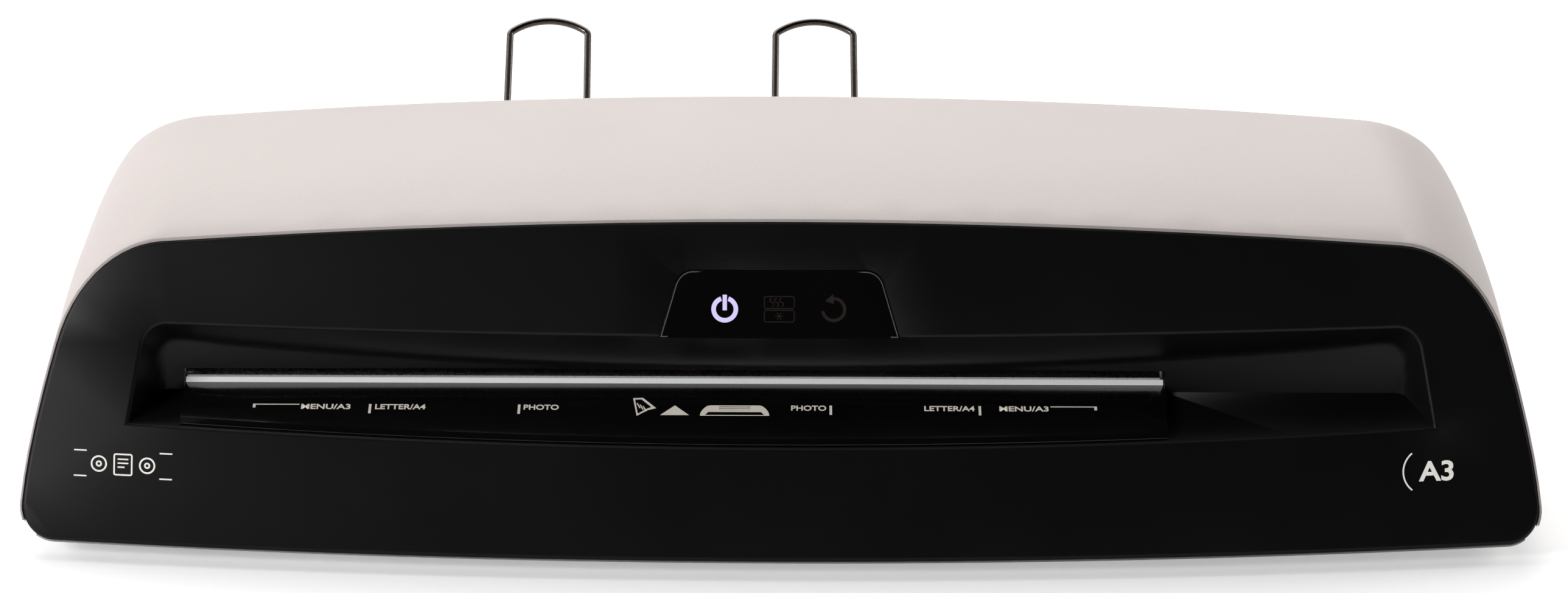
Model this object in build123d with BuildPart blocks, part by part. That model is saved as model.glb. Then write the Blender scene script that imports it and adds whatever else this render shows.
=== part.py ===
"""An A3 pouch laminator, in millimetres: +X to the operator's right, +Y towards the exit, +Z up.

The origin is on the table, under the middle of the machine and its wire supports.
A pouch goes in at the slot in the front recess, climbs the inclined path through the input rollers,
the heating shoes and the output rollers, and leaves through the rear bezel onto the wire supports.
"""
from build123d import *
import os
from math import acos, atan2, cos, degrees, hypot, radians, sin, sqrt, tan

# ---------------------------------------------------------------- driving dimensions: the casing
machine_depth = 186.0        # fascia foot to rear wall
reach_behind = 74.0          # how far the wire supports stand out behind the rear wall
front_y = -(machine_depth + reach_behind) / 2
rear_y = front_y + machine_depth

foot_half_width, foot_z = 269.1, 5.0
waist_half_width, waist_z = 263.3, 45.0
belly_z = 4.5                # underside on the centre line
shoulder_radius, heel_radius = 44.0, 12.0
# the cover's sections from front to back: depth, crown height, shoulder height and half-width, and how
# much the whole section is narrowed on each side
cover_sections = [(-5, 99, 80, 247, 0), (24, 105.5, 87, 247, 0), (51, 114.7, 98.1, 246.7, 0),
                  (75, 121.4, 106.6, 245.2, 0), (98, 125.6, 111.9, 243.2, 0.3), (142, 128.8, 115.4, 241, 1),
                  (164, 128.8, 115.4, 240.8, 2.2), (176, 128.8, 115.4, 240.8, 4.5),
                  (183, 128.8, 115.4, 240.8, 9), (187.5, 128.8, 115.4, 240.8, 16.5)]
crown_back, exit_sill = (147.0, 133.0), (machine_depth, 76.0)   # the sloped rear face, top and bottom
face_lean = 25.0             # degrees the fascia leans back from upright
face_foot_z = 3.6            # where the leaning surface would meet front_y
face_bow_radius = 2000.0     # the fascia is bowed in plan
wall = 2.4
fascia_thickness = 3.0
lip = 0.8                    # thickness of the cover's edge that shows round the fascia
seam_z = 12.0                # where the cover meets the base pan
floor_z = 6.8
gap = 0.2                    # clearance between moulded parts

# ---------------------------------------------------------------- driving dimensions: the pouch path
path_angle = 12.0            # degrees the path climbs towards the back
slot_depth, slot_z = 55.0, 54.9          # the path's start, at the back of the entry recess
slot_y = front_y + slot_depth
path_centre_x = -38.7        # the path is off centre, to leave room for the drive
slot_centre_x, slot_half_length = -37.9, 174.1
slot_gap = 5.2
tray_thickness = 2.6

roller_radius, shaft_radius = 10.0, 4.0
roller_half_length = 167.0
nip_gap = 0.3
input_s, output_s = 30.0, 92.0           # roller pairs, along the path
roller_h = roller_radius + nip_gap / 2
plate_thickness = 1.6
left_plate_x = path_centre_x - 175.0
right_plate_x = path_centre_x + 173.4
running_gap = 0.05
carrier_lift = 1.0           # how far the upper rollers rise over a pouch

roller_teeth, idler_teeth, pinion_teeth = 20, 42, 14
gear_x, gear_width = right_plate_x + 5.0, 8.0
backlash = 0.3

wire_radius = 1.35
wire_angle = 37.8            # degrees the wires climb when they are let down
wire_pivot = (machine_depth + 4.6, 70.5)
os.makedirs("parts", exist_ok=True)


def save(builder, name):
    """Labels a finished piece and writes its STEP file."""
    builder.part.label = name
    export_step(builder.part, f"parts/{name}.step")


def at(depth, z):
    """(y, z) of a point given by its depth behind the fascia's foot."""
    return front_y + depth, z


def on_path(s, h=0.0):
    """(y, z) of a point s along the pouch path from the slot and h above it."""
    a = radians(path_angle)
    return slot_y + s * cos(a) - h * sin(a), slot_z + s * sin(a) + h * cos(a)


def outline(points):
    """A closed polygon in the sketch being built."""
    with BuildLine() as edge:
        Polyline(*points, close=True)
    make_face(edge.edges())


def path_box(s0, s1, h0, h1):
    """A rectangle along the pouch path, in the YZ sketch being built."""
    outline([on_path(s0, h0), on_path(s1, h0), on_path(s1, h1), on_path(s0, h1)])


def across(x):
    """The plane at x whose local axes are Y and Z."""
    return Plane.YZ.offset(x)


# ---------------------------------------------------------------- shapes shared by the casings
def section_outline(inset, crown, shoulder_z, shoulder_half, squeeze, flat_z):
    """The casing's cross-section: bulging sloped sides, arched top, and an arched or flat bottom."""
    shoulder = (shoulder_half - inset - squeeze, shoulder_z - inset)
    waist = (waist_half_width - inset - squeeze, waist_z)
    foot = (foot_half_width - inset - squeeze, foot_z + inset if flat_z is None else flat_z)
    with BuildLine() as edge:
        ThreePointArc(foot, waist, shoulder)
        ThreePointArc(shoulder, (0, crown - inset), (-shoulder[0], shoulder[1]))
        ThreePointArc((-shoulder[0], shoulder[1]), (-waist[0], waist[1]), (-foot[0], foot[1]))
        if flat_z is None:
            ThreePointArc((-foot[0], foot[1]), (0, belly_z + inset), foot)
        else:
            Line((-foot[0], foot[1]), foot)
    make_face(edge.edges())


def casing(inset, flat_z=None):
    """The whole casing as one solid, moved in by inset."""
    with BuildPart() as body:
        for depth, crown, shoulder_z, shoulder_half, squeeze in cover_sections:
            with BuildSketch(Plane.XZ.offset(-(front_y + depth))) as section:
                section_outline(inset, crown, shoulder_z, shoulder_half, squeeze, flat_z)
                if flat_z is None:
                    fillet(section.vertices().group_by(Axis.Y)[0], heel_radius - inset)
                fillet(section.vertices().group_by(Axis.Y)[-1], shoulder_radius - inset)
        loft()
        with BuildSketch(Plane.YZ) as profile:
            outline([at(-20, -10), at(machine_depth, -10), at(*exit_sill), at(*crown_back),
                     at(crown_back[0] - 20, 180), at(-20, 180)])
            fillet(profile.vertices().sort_by_distance(Vector(*at(*exit_sill)))[0], 10)
            fillet(profile.vertices().sort_by_distance(Vector(*at(*crown_back)))[0], 12)
            if inset:
                offset(amount=-inset, kind=Kind.INTERSECTION)
        extrude(amount=300, both=True, mode=Mode.INTERSECT)
    return body.part


def behind_face(shift):
    """Everything behind the leaning, bowed fascia surface moved back by shift."""
    a = radians(face_lean)
    start_y = front_y + shift - face_foot_z * tan(a)
    reach = 320.0
    sag = face_bow_radius - sqrt(face_bow_radius**2 - reach**2)
    with BuildPart() as space:
        with BuildSketch() as plan:
            with BuildLine():
                ThreePointArc((-reach, start_y + sag), (0, start_y), (reach, start_y + sag))
                Polyline((reach, start_y + sag), (reach, start_y + 450), (-reach, start_y + 450),
                         (-reach, start_y + sag))
            make_face()
        extrude(amount=170, dir=(0, sin(a), cos(a)))
    return space.part


def block(x0, x1, y0, y1, z0, z1):
    """A plain block given by its limits."""
    with BuildPart() as piece:
        with Locations(((x0 + x1) / 2, (y0 + y1) / 2, (z0 + z1) / 2)):
            Box(x1 - x0, y1 - y0, z1 - z0)
    return piece.part


def path_block(half_length, s0, s1, h0, h1, centre_x=path_centre_x):
    """A block lying along the pouch path."""
    with BuildPart() as piece:
        with BuildSketch(across(centre_x)):
            path_box(s0, s1, h0, h1)
        extrude(amount=half_length, both=True)
    return piece.part


def bar(x0, x1, centre, radius, hole=0.0):
    """A round bar or tube along X; centre is its (y, z)."""
    with BuildPart() as piece:
        with BuildSketch(across(x0)):
            with Locations(centre):
                Circle(radius)
                if hole:
                    Circle(hole, mode=Mode.SUBTRACT)
        extrude(amount=x1 - x0)
    return piece.part


def post(x, y, z0, z1, radius, hole=0.0):
    """A round post or tube along Z."""
    with BuildPart() as piece:
        with BuildSketch(Plane.XY.offset(z0)):
            with Locations((x, y)):
                Circle(radius)
                if hole:
                    Circle(hole, mode=Mode.SUBTRACT)
        extrude(amount=z1 - z0)
    return piece.part


# ---------------------------------------------------------------- the entry recess
recess_half_width = 221.0            # at the back wall
recess_end_splay = 22.0              # degrees the end walls open towards the front
recess_floor_h = -(slot_gap / 2 + tray_thickness)
ceiling_lean = 42.5                  # degrees the ceiling drops towards the slot
ceiling_back_z = 58.8
recess_wall = 2.0


def above_ceiling(grow):
    """Everything above the recess's ceiling, which follows the fascia's bow."""
    a = radians(ceiling_lean)
    sag = face_bow_radius - sqrt(face_bow_radius**2 - 320**2)
    with BuildPart() as over:
        with BuildSketch(Plane.XY.offset(ceiling_back_z + grow / cos(a))) as plan:
            with BuildLine():
                ThreePointArc((-320, slot_y + sag), (0, slot_y), (320, slot_y + sag))
                Polyline((320, slot_y + sag), (320, slot_y + 300), (-320, slot_y + 300), (-320, slot_y + sag))
            make_face()
        extrude(amount=180, dir=(0, -cos(a), sin(a)))
    return over.part


def recess_room(grow=0.0):
    """The room inside the entry recess, or its outer skin when grown by the wall thickness."""
    slope = tan(radians(path_angle))
    back = slot_depth + grow
    floor_back_z = slot_z + recess_floor_h / cos(radians(path_angle)) - grow + grow * slope
    with BuildPart() as room:
        with BuildSketch(Plane.XZ.offset(-(front_y + back))):
            with Locations((0, 65)):
                Rectangle(2 * (recess_half_width + grow), 90)
        extrude(amount=80, taper=-recess_end_splay)
        with BuildSketch(Plane.YZ):
            outline([at(back, floor_back_z), at(-20, floor_back_z - (back + 20) * slope), at(-20, 110),
                     at(back, 110)])
        extrude(amount=300, both=True, mode=Mode.INTERSECT)
        add(above_ceiling(grow), mode=Mode.SUBTRACT)
        ends = [e for e in room.edges() if abs(e.center().X) > 215 and e.length < 70]
        fillet([e for e in ends if e.length > 50 and e.center().Z > 85], 9 + grow)
        fillet(room.edges().filter_by(Axis.Z).filter_by(lambda e: e.center().Y > slot_y - 1), 5)
    return room.part


# ---------------------------------------------------------------- shared shapes, made once
outside = casing(0)
inside = casing(wall, floor_z)
behind_fascia = behind_face(fascia_thickness + gap)
recess = recess_room()
plate_inner_half = (right_plate_x - left_plate_x - plate_thickness) / 2
shaft_centres = {
    "lower_input": on_path(input_s, -roller_h), "upper_input": on_path(input_s, roller_h),
    "lower_output": on_path(output_s, -roller_h), "upper_output": on_path(output_s, roller_h)}

# places fixed on the base pan
foot_places = [(x, front_y + depth) for x in (-205, 205) for depth in (34, 158)]
boss_places = [(x, front_y + depth) for x in (-238, 238) for depth in (72, 152)]
switch_x, gland_x, rear_panel_x, rear_panel_top = 214.0, 180.0, (162.0, 236.0), 58.0
switch_z, gland_z = 34.0, 30.0

# ---------------------------------------------------------------- control window, in the fascia's own plane
window_bottom_z, window_top_z = 77.2, 98.8
window_centre_x, window_half_bottom, window_half_top = -0.7, 42.1, 35.1
window_corner = 6.5
symbol_z = 86.5
symbol_places = (-19.9, -0.8, 18.3)


def window_prism(grow):
    """The window's trapezoid carried through the fascia, with rounded top corners."""
    low, high = window_bottom_z - grow, window_top_z + grow
    with BuildPart() as prism:
        with BuildSketch(Plane.XZ.offset(-front_y)) as shape:
            with BuildLine():
                left, right = window_centre_x - grow, window_centre_x + grow
                Polyline((left - window_half_bottom, low), (right + window_half_bottom, low),
                         (right + window_half_top, high), (left - window_half_top, high), close=True)
            make_face()
            fillet(shape.vertices().group_by(Axis.Y)[-1], window_corner)
        extrude(amount=-90)
    return prism.part


def build_top_cover():
    """The painted cover: a shell with a thin lip round the fascia, screw bosses and an exit opening."""
    with BuildPart() as cover:
        add(outside)
        add(inside, mode=Mode.SUBTRACT)
        add(behind_face(0.5), mode=Mode.INTERSECT)
        add(casing(lip) - behind_fascia, mode=Mode.SUBTRACT)
        add(block(-300, 300, -200, 200, -5, seam_z + gap), mode=Mode.SUBTRACT)
        add(path_block(180, 114, 150, -7, 7), mode=Mode.SUBTRACT)
        panel = block(rear_panel_x[0] - gap, rear_panel_x[1] + gap, rear_y - 12, rear_y + 5, 0,
                      rear_panel_top + gap)
        add(panel, mode=Mode.SUBTRACT)
        for x, y in boss_places:
            add(post(x, y, seam_z + 2.2, 140, 4.5) & casing(wall / 2))
            add(post(x, y, seam_z + 2, seam_z + 20, 1.6), mode=Mode.SUBTRACT)
    save(cover, "top_cover")


def build_base_pan():
    """The base pan: floor, upstand, rear panel with the mains fittings, vents, foot pockets and standoffs."""
    upstand = block(-300, 300, -200, 200, -5, seam_z)
    panel = block(*rear_panel_x, rear_y - 10, rear_y + 5, 4, rear_panel_top)
    with BuildPart() as pan:
        add(outside)
        add(inside, mode=Mode.SUBTRACT)
        add(behind_fascia, mode=Mode.INTERSECT)
        add(upstand + panel, mode=Mode.INTERSECT)
        for x, y in boss_places:
            add(post(x, y, floor_z - 1, seam_z + 2, 5.5))
            add(post(x, y, 0, seam_z + 3, 2.1), mode=Mode.SUBTRACT)
            add(post(x, y, 0, 9.0, 3.8), mode=Mode.SUBTRACT)
        for x, y in foot_places:
            add(post(x, y, 0, 5.4, 9.2), mode=Mode.SUBTRACT)
        with BuildSketch(Plane.XY):
            with Locations((path_centre_x, front_y + 108)):
                with GridLocations(44, 9, 7, 8):
                    SlotOverall(34, 3)
        extrude(amount=20, mode=Mode.SUBTRACT)
        add(block(switch_x - 6.6, switch_x + 6.6, rear_y - 12, rear_y + 5, switch_z - 9.8, switch_z + 9.8),
            mode=Mode.SUBTRACT)
        with BuildSketch(Plane.XZ.offset(-(rear_y - 12))):
            with Locations((gland_x, gland_z)):
                Circle(7.1)
        extrude(amount=-20, mode=Mode.SUBTRACT)
    save(pan, "base_pan")


def build_feet_and_screws():
    """Four rubber feet pressed into the pan, and the four long case screws."""
    with BuildPart() as feet:
        for x, y in foot_places:
            add(post(x, y, 0, 5.35, 9))
            add(post(x, y, 0, 1.2, 3), mode=Mode.SUBTRACT)
        chamfer(feet.edges().group_by(Axis.Z)[0].filter_by(lambda e: e.radius > 8), 1.4)
    save(feet, "rubber_feet")
    with BuildPart() as screws:
        for x, y in boss_places:
            add(post(x, y, 6.4, 9.0, 3.5))
            add(post(x, y, 9.0, seam_z + 19, 1.55))
            with BuildSketch(Plane.XY.offset(6.4)):
                with Locations((x, y)):
                    RectangleRounded(3.6, 0.9, 0.2)
                    RectangleRounded(0.9, 3.6, 0.2)
            extrude(amount=1.4, mode=Mode.SUBTRACT)
    save(screws, "case_screws")


def on_fascia_surface(edge):
    """Whether an edge lies in the fascia's leaning, bowed front surface."""
    a = radians(face_lean)
    bow_centre_y = front_y - face_foot_z * tan(a) + face_bow_radius
    points = [edge @ t for t in (0.05, 0.5, 0.95)]
    return all(abs(hypot(p.X, p.Y - p.Z * tan(a) - bow_centre_y) - face_bow_radius) < 0.02 for p in points)


def build_front_fascia():
    """The bowed black fascia, moulded in one with the entry recess and its slot."""
    with BuildPart() as fascia:
        add(casing(lip + gap))
        add(behind_face(0), mode=Mode.INTERSECT)
        add(behind_face(fascia_thickness), mode=Mode.SUBTRACT)
        fillet(fascia.edges().filter_by(on_fascia_surface), 1.5)
        add(recess_room(recess_wall) & behind_face(fascia_thickness / 2))
        add(recess, mode=Mode.SUBTRACT)
        rim = fascia.edges().filter_by(on_fascia_surface)
        fillet(rim.filter_by(lambda e: abs(e.center().X) < recess_half_width + 10 and 38 < e.center().Z < 95), 1.5)
        add(block(slot_centre_x - slot_half_length, slot_centre_x + slot_half_length, slot_y - 4, slot_y + 6,
                  slot_z - slot_gap / 2 - tray_thickness - 0.3, slot_z + slot_gap / 2), mode=Mode.SUBTRACT)
        add(window_prism(gap) & behind_face(-2) - behind_face(1.9), mode=Mode.SUBTRACT)
        for x in symbol_places:
            with BuildSketch(Plane.XZ.offset(-front_y)):
                with Locations((x, symbol_z)):
                    Circle(5.2)
            extrude(amount=-60, mode=Mode.SUBTRACT)
    save(fascia, "front_fascia")


def build_entry_tray():
    """The gloss tray insert on the recess floor, and the bright lip at the slot's lower edge."""
    half = slot_half_length - 0.4
    tray_top, tray_base = -slot_gap / 2, recess_floor_h + 0.05
    with BuildPart() as tray:
        add(path_block(half, -60, -0.6, tray_base, tray_top, slot_centre_x))
        add(behind_face(1.2), mode=Mode.INTERSECT)
        fillet(tray.edges().group_by(Axis.Y)[0].sort_by(Axis.Z)[-1], 0.6)
    save(tray, "entry_tray")
    with BuildPart() as strip:
        with BuildSketch(across(slot_centre_x)):
            outline([on_path(-0.5, tray_base), on_path(2.0, tray_base), on_path(2.0, tray_top + 0.7),
                     on_path(1.2, tray_top + 1.0), on_path(-0.5, tray_top + 0.2)])
        extrude(amount=half - 0.1, both=True)
    save(strip, "slot_lip")


def build_controls():
    """The gloss touch window, the touch board behind it, and its light guides."""
    with BuildPart() as window:
        add(window_prism(0))
        add(behind_face(-0.25), mode=Mode.INTERSECT)
        add(behind_face(1.85), mode=Mode.SUBTRACT)
    save(window, "control_window")
    with BuildPart() as board:
        add(block(-41, 41, front_y, front_y + 80, 80.8, 97.8))
        add(behind_face(5.2), mode=Mode.INTERSECT)
        add(behind_face(6.8), mode=Mode.SUBTRACT)
    save(board, "touch_board")
    with BuildPart() as guides:
        for x in symbol_places:
            with BuildSketch(Plane.XZ.offset(-front_y)):
                with Locations((x, symbol_z)):
                    Circle(5.0)
            extrude(amount=-60)
        add(behind_face(1.95), mode=Mode.INTERSECT)
        add(behind_face(5.15), mode=Mode.SUBTRACT)
    save(guides, "light_guides")


# ---------------------------------------------------------------- frame plates, bars and guides
bush_radius, bush_flange_radius, bush_flange = 5.0, 7.0, 1.2
plate_outline = [at(63, floor_z), at(160, floor_z), at(160, 92), at(149, 105), at(78, 93), at(63, 76)]
tie_places = [at(77.5, 36), at(152, 24), on_path(61, 32)]
spring_height = 10.0
sensor_s, sensor_h, sensor_x = 9.0, -12.0, path_centre_x + 6.0


def build_frame_plates():
    """Two folded steel plates: round holes for the lower bushes and slots for the upper carriers."""
    for name, x, flange_side in (("left_frame_plate", left_plate_x, -1), ("right_frame_plate", right_plate_x, 1)):
        with BuildPart() as plate:
            with BuildSketch(across(x)):
                outline(plate_outline)
            extrude(amount=plate_thickness)
            edges = plate.edges().filter_by(Axis.X).filter_by(lambda e: e.center().Z > 50)
            fillet(edges, 5)
            x0 = x if flange_side > 0 else x + plate_thickness
            for depth in (84, 146):
                low, high = sorted((x0, x0 + flange_side * 14))
                y = front_y + depth
                add(block(low, high, y - 8, y + 8, floor_z, floor_z + plate_thickness))
                add(post(x0 + flange_side * 9, y, 0, 20, 1.7), mode=Mode.SUBTRACT)
            for key in ("lower_input", "lower_output"):
                add(bar(x - 5, x + 5, shaft_centres[key], bush_radius), mode=Mode.SUBTRACT)
            for s in (input_s, output_s):
                slot = path_block(10, s - bush_radius - running_gap, s + bush_radius + running_gap, roller_h,
                                  roller_h + carrier_lift + 0.2, x)
                add(slot, mode=Mode.SUBTRACT)
                for h in (roller_h, roller_h + carrier_lift + 0.2):
                    add(bar(x - 5, x + 5, on_path(s, h), bush_radius + running_gap), mode=Mode.SUBTRACT)
            for key in ("upper_input", "upper_output"):
                y, z = shaft_centres[key]
                inner = x + plate_thickness if flange_side < 0 else x
                low, high = sorted((inner, inner - flange_side * 5.8))
                spring_top = z + bush_radius + spring_height
                add(block(low, high, y - 4, y + 4, spring_top, spring_top + plate_thickness))
            for place in tie_places:
                add(bar(x - 5, x + 5, place, 1.6), mode=Mode.SUBTRACT)
        save(plate, name)
    with BuildPart() as ties:
        for place in tie_places:
            add(bar(left_plate_x + plate_thickness, right_plate_x, place, 3.5))
            add(bar(left_plate_x + plate_thickness, left_plate_x + 14, place, 1.5), mode=Mode.SUBTRACT)
            add(bar(right_plate_x - 12, right_plate_x, place, 1.5), mode=Mode.SUBTRACT)
    save(ties, "tie_bars")
    with BuildPart() as screws:
        for place in tie_places:
            for x, side in ((left_plate_x, -1), (right_plate_x + plate_thickness, 1)):
                add(bar(*sorted((x, x + side * 2.2)), place, 3.0))
                add(bar(*sorted((x, x - side * 10)), place, 1.45))
        for x0, side in ((left_plate_x + plate_thickness, -1), (right_plate_x, 1)):
            for depth in (84, 146):
                place = (x0 + side * 9, front_y + depth)
                add(post(*place, floor_z + plate_thickness, floor_z + plate_thickness + 2.0, 3.0))
                add(post(*place, floor_z, floor_z + plate_thickness, 1.5))
    save(screws, "frame_screws")


def build_guides():
    """Sheet guides that lead the pouch into the input nip, and a pair that lead it out of the output nip."""
    centre_x = (left_plate_x + plate_thickness + right_plate_x) / 2
    sections = {
        "lower_entry_guide": [[(2.6, -1.5), (18.5, -1.1), (18.5, -2.3), (2.6, -2.7)]],
        "upper_entry_guide": [[(4.4, 2.2), (18.5, 1.1), (18.5, 2.3), (4.4, 3.4)]],
        "exit_guides": [[(104.5, -1.2), (113.4, -2.0), (113.4, -3.2), (104.5, -2.4)],
                        [(104.5, 1.2), (113.4, 2.0), (113.4, 3.2), (104.5, 2.4)]]}
    for name, sheets in sections.items():
        with BuildPart() as guide:
            with BuildSketch(across(centre_x)):
                for points in sheets:
                    outline([on_path(s, h) for s, h in points])
            extrude(amount=plate_inner_half, both=True)
            if name == "lower_entry_guide":
                add(path_block(2.6, 6.0, 30, -6, 0, sensor_x), mode=Mode.SUBTRACT)
        save(guide, name)


def build_heaters():
    """Two finned aluminium heating shoes, the mica heaters on their backs, and the thermostat."""
    centre_x = (left_plate_x + plate_thickness + right_plate_x) / 2
    for name, side in (("lower_heating_shoe", -1), ("upper_heating_shoe", 1)):
        with BuildPart() as shoe:
            with BuildSketch(across(centre_x)):
                outline([on_path(43.5, side * 2.4), on_path(47, side * 1.0), on_path(75, side * 1.0),
                         on_path(78.5, side * 2.4), on_path(78.5, side * 6), on_path(43.5, side * 6)])
            extrude(amount=plate_inner_half, both=True)
            for s in (45.0, 53.5, 66.5, 75.0):
                add(path_block(plate_inner_half, s, s + 2.0, *sorted((side * 5.5, side * 11)), centre_x))
        save(shoe, name)
    with BuildPart() as heaters:
        for side in (-1, 1):
            add(path_block(plate_inner_half - 6, 56.0, 66.0, *sorted((side * 6.05, side * 7.6)), centre_x))
    save(heaters, "mica_heaters")
    with BuildPart() as thermostat:
        with BuildSketch(Plane((path_centre_x + 60, *on_path(61, 7.7)), x_dir=(1, 0, 0),
                               z_dir=(0, -sin(radians(path_angle)), cos(radians(path_angle))))):
            Circle(4.4)
        extrude(amount=5)
        with BuildSketch(Plane((path_centre_x + 60, *on_path(61, 12.7)), x_dir=(1, 0, 0),
                               z_dir=(0, -sin(radians(path_angle)), cos(radians(path_angle))))):
            with Locations((-3, 0), (3, 0)):
                Rectangle(2.4, 0.8)
        extrude(amount=7)
    save(thermostat, "thermostat")


# ---------------------------------------------------------------- rollers, bushes and springs
def build_rollers():
    """Silicone sleeves bonded to steel shafts; the shafts' right ends carry the gears."""
    for name, centre in shaft_centres.items():
        with BuildPart() as sleeve:
            add(bar(path_centre_x - roller_half_length, path_centre_x + roller_half_length, centre, roller_radius,
                    shaft_radius))
            chamfer(sleeve.edges().filter_by(GeomType.CIRCLE).filter_by(lambda e: e.radius > 9), 0.5)
        save(sleeve, f"{name}_roller")
        with BuildPart() as shaft:
            add(bar(left_plate_x - 5, gear_x + gear_width + 2, centre, shaft_radius))
            chamfer(shaft.edges().filter_by(GeomType.CIRCLE), 0.5)
        save(shaft, f"{name}_shaft")


def bush(x, side, centre, reach=1.5):
    """A flanged bush in a frame plate, its flange on the plate's outer face."""
    outer_face = x if side < 0 else x + plate_thickness
    flange = sorted((outer_face + side * 0.02, outer_face + side * bush_flange))
    barrel = sorted((outer_face + side * 0.02, outer_face - side * (plate_thickness + reach)))
    with BuildPart() as piece:
        add(bar(*barrel, centre, bush_radius))
        add(bar(*flange, centre, bush_flange_radius))
        add(bar(x - 10, x + 10, centre, shaft_radius + running_gap), mode=Mode.SUBTRACT)
    return piece.part


def build_bushes():
    """Eight bushes: the lower four pressed in the plates, the upper four free to rise in their slots."""
    sides = ((left_plate_x, -1), (right_plate_x, 1))
    with BuildPart() as lower:
        for key in ("lower_input", "lower_output"):
            for x, side in sides:
                add(bush(x, side, shaft_centres[key]))
    save(lower, "lower_bushes")
    for key in ("input", "output"):
        with BuildPart() as upper:
            for x, side in sides:
                add(bush(x, side, shaft_centres[f"upper_{key}"], 5.2))
        save(upper, f"{key}_carrier_bushes")


def build_pressure_springs():
    """Compression springs between the upper bushes and the tabs of the frame plates."""
    coil_radius, coil_wire, turns = 1.9, 0.35, 5
    for key in ("input", "output"):
        y, z = shaft_centres[f"upper_{key}"]
        low_z = z + bush_radius + coil_wire + 0.05
        height = spring_height - 2 * coil_wire - 0.1
        with BuildPart() as springs:
            for x in (left_plate_x + plate_thickness + 2.9, right_plate_x - 2.9):
                with BuildLine() as coil:
                    Helix(pitch=height / turns, height=height, radius=coil_radius, center=(x, y, low_z))
                with BuildSketch(Plane(coil.line @ 0, z_dir=coil.line % 0)):
                    Circle(coil_wire)
                sweep(path=coil.line, is_frenet=True)
        save(springs, f"{key}_springs")


# ---------------------------------------------------------------- gear train and motor
idler_centre = on_path((input_s + output_s) / 2, -roller_h)
pinion_centre = (idler_centre[0], idler_centre[1] - (idler_teeth + pinion_teeth) / 2)


def gear_outline(teeth, centre, first_tooth):
    """An involute spur gear of module 1; first_tooth is one tooth's direction in degrees."""
    pitch_radius, pressure = teeth / 2, radians(20)
    base_radius, tip_radius, root_radius = pitch_radius * cos(pressure), pitch_radius + 0.9, pitch_radius - 1.2

    def half_angle(radius):
        """Half the tooth's angle, in radians, at a radius."""
        roll = acos(min(1.0, base_radius / radius))
        spread = tan(pressure) - pressure - tan(roll) + roll
        return pi_over_teeth / 2 - backlash / (2 * pitch_radius) + spread

    pi_over_teeth = radians(180 / teeth)

    def place(radius, angle):
        return (centre[0] + radius * cos(angle), centre[1] + radius * sin(angle))

    foot = max(base_radius, root_radius + 0.05)
    middle = (foot + tip_radius) / 2
    with BuildLine() as edge:
        for tooth in range(teeth):
            a = radians(first_tooth + 360 * tooth / teeth)
            following = a + 2 * pi_over_teeth
            flank = [(r, half_angle(r)) for r in (foot, middle, tip_radius)]
            root = half_angle(foot)
            Line(place(root_radius, a - root), place(foot, a - root))
            ThreePointArc(*[place(r, a - h) for r, h in flank])
            Line(place(tip_radius, a - flank[2][1]), place(tip_radius, a + flank[2][1]))
            ThreePointArc(*[place(r, a + h) for r, h in reversed(flank)])
            Line(place(foot, a + root), place(root_radius, a + root))
            Line(place(root_radius, a + root), place(root_radius, following - root))
    make_face(edge.edges())


def direction(a, b):
    """Degrees of the way from one centre to another in the YZ plane."""
    return degrees(atan2(b[1] - a[1], b[0] - a[0]))


def meshing_tooth(driver_teeth, driver_centre, driver_tooth, teeth, centre):
    """Where a gear needs a tooth so that it meshes with its neighbour."""
    line = direction(driver_centre, centre)
    return line + 180 + 180 / teeth - (driver_tooth - line) * driver_teeth / teeth


def gear(teeth, centre, first_tooth, bore_radius, hub_radius):
    """A moulded gear with a raised hub and rim and a thinner web."""
    with BuildPart() as wheel:
        with BuildSketch(across(gear_x)):
            gear_outline(teeth, centre, first_tooth)
        extrude(amount=gear_width)
        if teeth / 2 - 2.4 > hub_radius + 1:
            for x in (gear_x, gear_x + gear_width - 2.4):
                add(bar(x, x + 2.4, centre, teeth / 2 - 2.4, hub_radius), mode=Mode.SUBTRACT)
        add(bar(gear_x - 1, gear_x + gear_width + 1, centre, bore_radius), mode=Mode.SUBTRACT)
    return wheel


def build_gear_train():
    """Motor pinion, idler on its post, and a gear on each roller shaft."""
    idler_tooth = 90.0
    save(gear(idler_teeth, idler_centre, idler_tooth, shaft_radius + running_gap, 7), "idler_gear")
    pinion_tooth = meshing_tooth(idler_teeth, idler_centre, idler_tooth, pinion_teeth, pinion_centre)
    save(gear(pinion_teeth, pinion_centre, pinion_tooth, 2.5, 5), "motor_pinion")
    for key in ("input", "output"):
        low, high = shaft_centres[f"lower_{key}"], shaft_centres[f"upper_{key}"]
        low_tooth = meshing_tooth(idler_teeth, idler_centre, idler_tooth, roller_teeth, low)
        high_tooth = meshing_tooth(roller_teeth, low, low_tooth, roller_teeth, high)
        save(gear(roller_teeth, low, low_tooth, shaft_radius, 6), f"lower_{key}_gear")
        save(gear(roller_teeth, high, high_tooth, shaft_radius, 6), f"upper_{key}_gear")
    with BuildPart() as stub:
        add(bar(right_plate_x + plate_thickness, gear_x + gear_width + 1.2, idler_centre, shaft_radius))
        add(bar(right_plate_x + plate_thickness, gear_x - 0.3, idler_centre, 6))
        add(bar(gear_x + gear_width + 0.3, gear_x + gear_width + 1.2, idler_centre, 5.5))
    save(stub, "idler_post")


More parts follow.
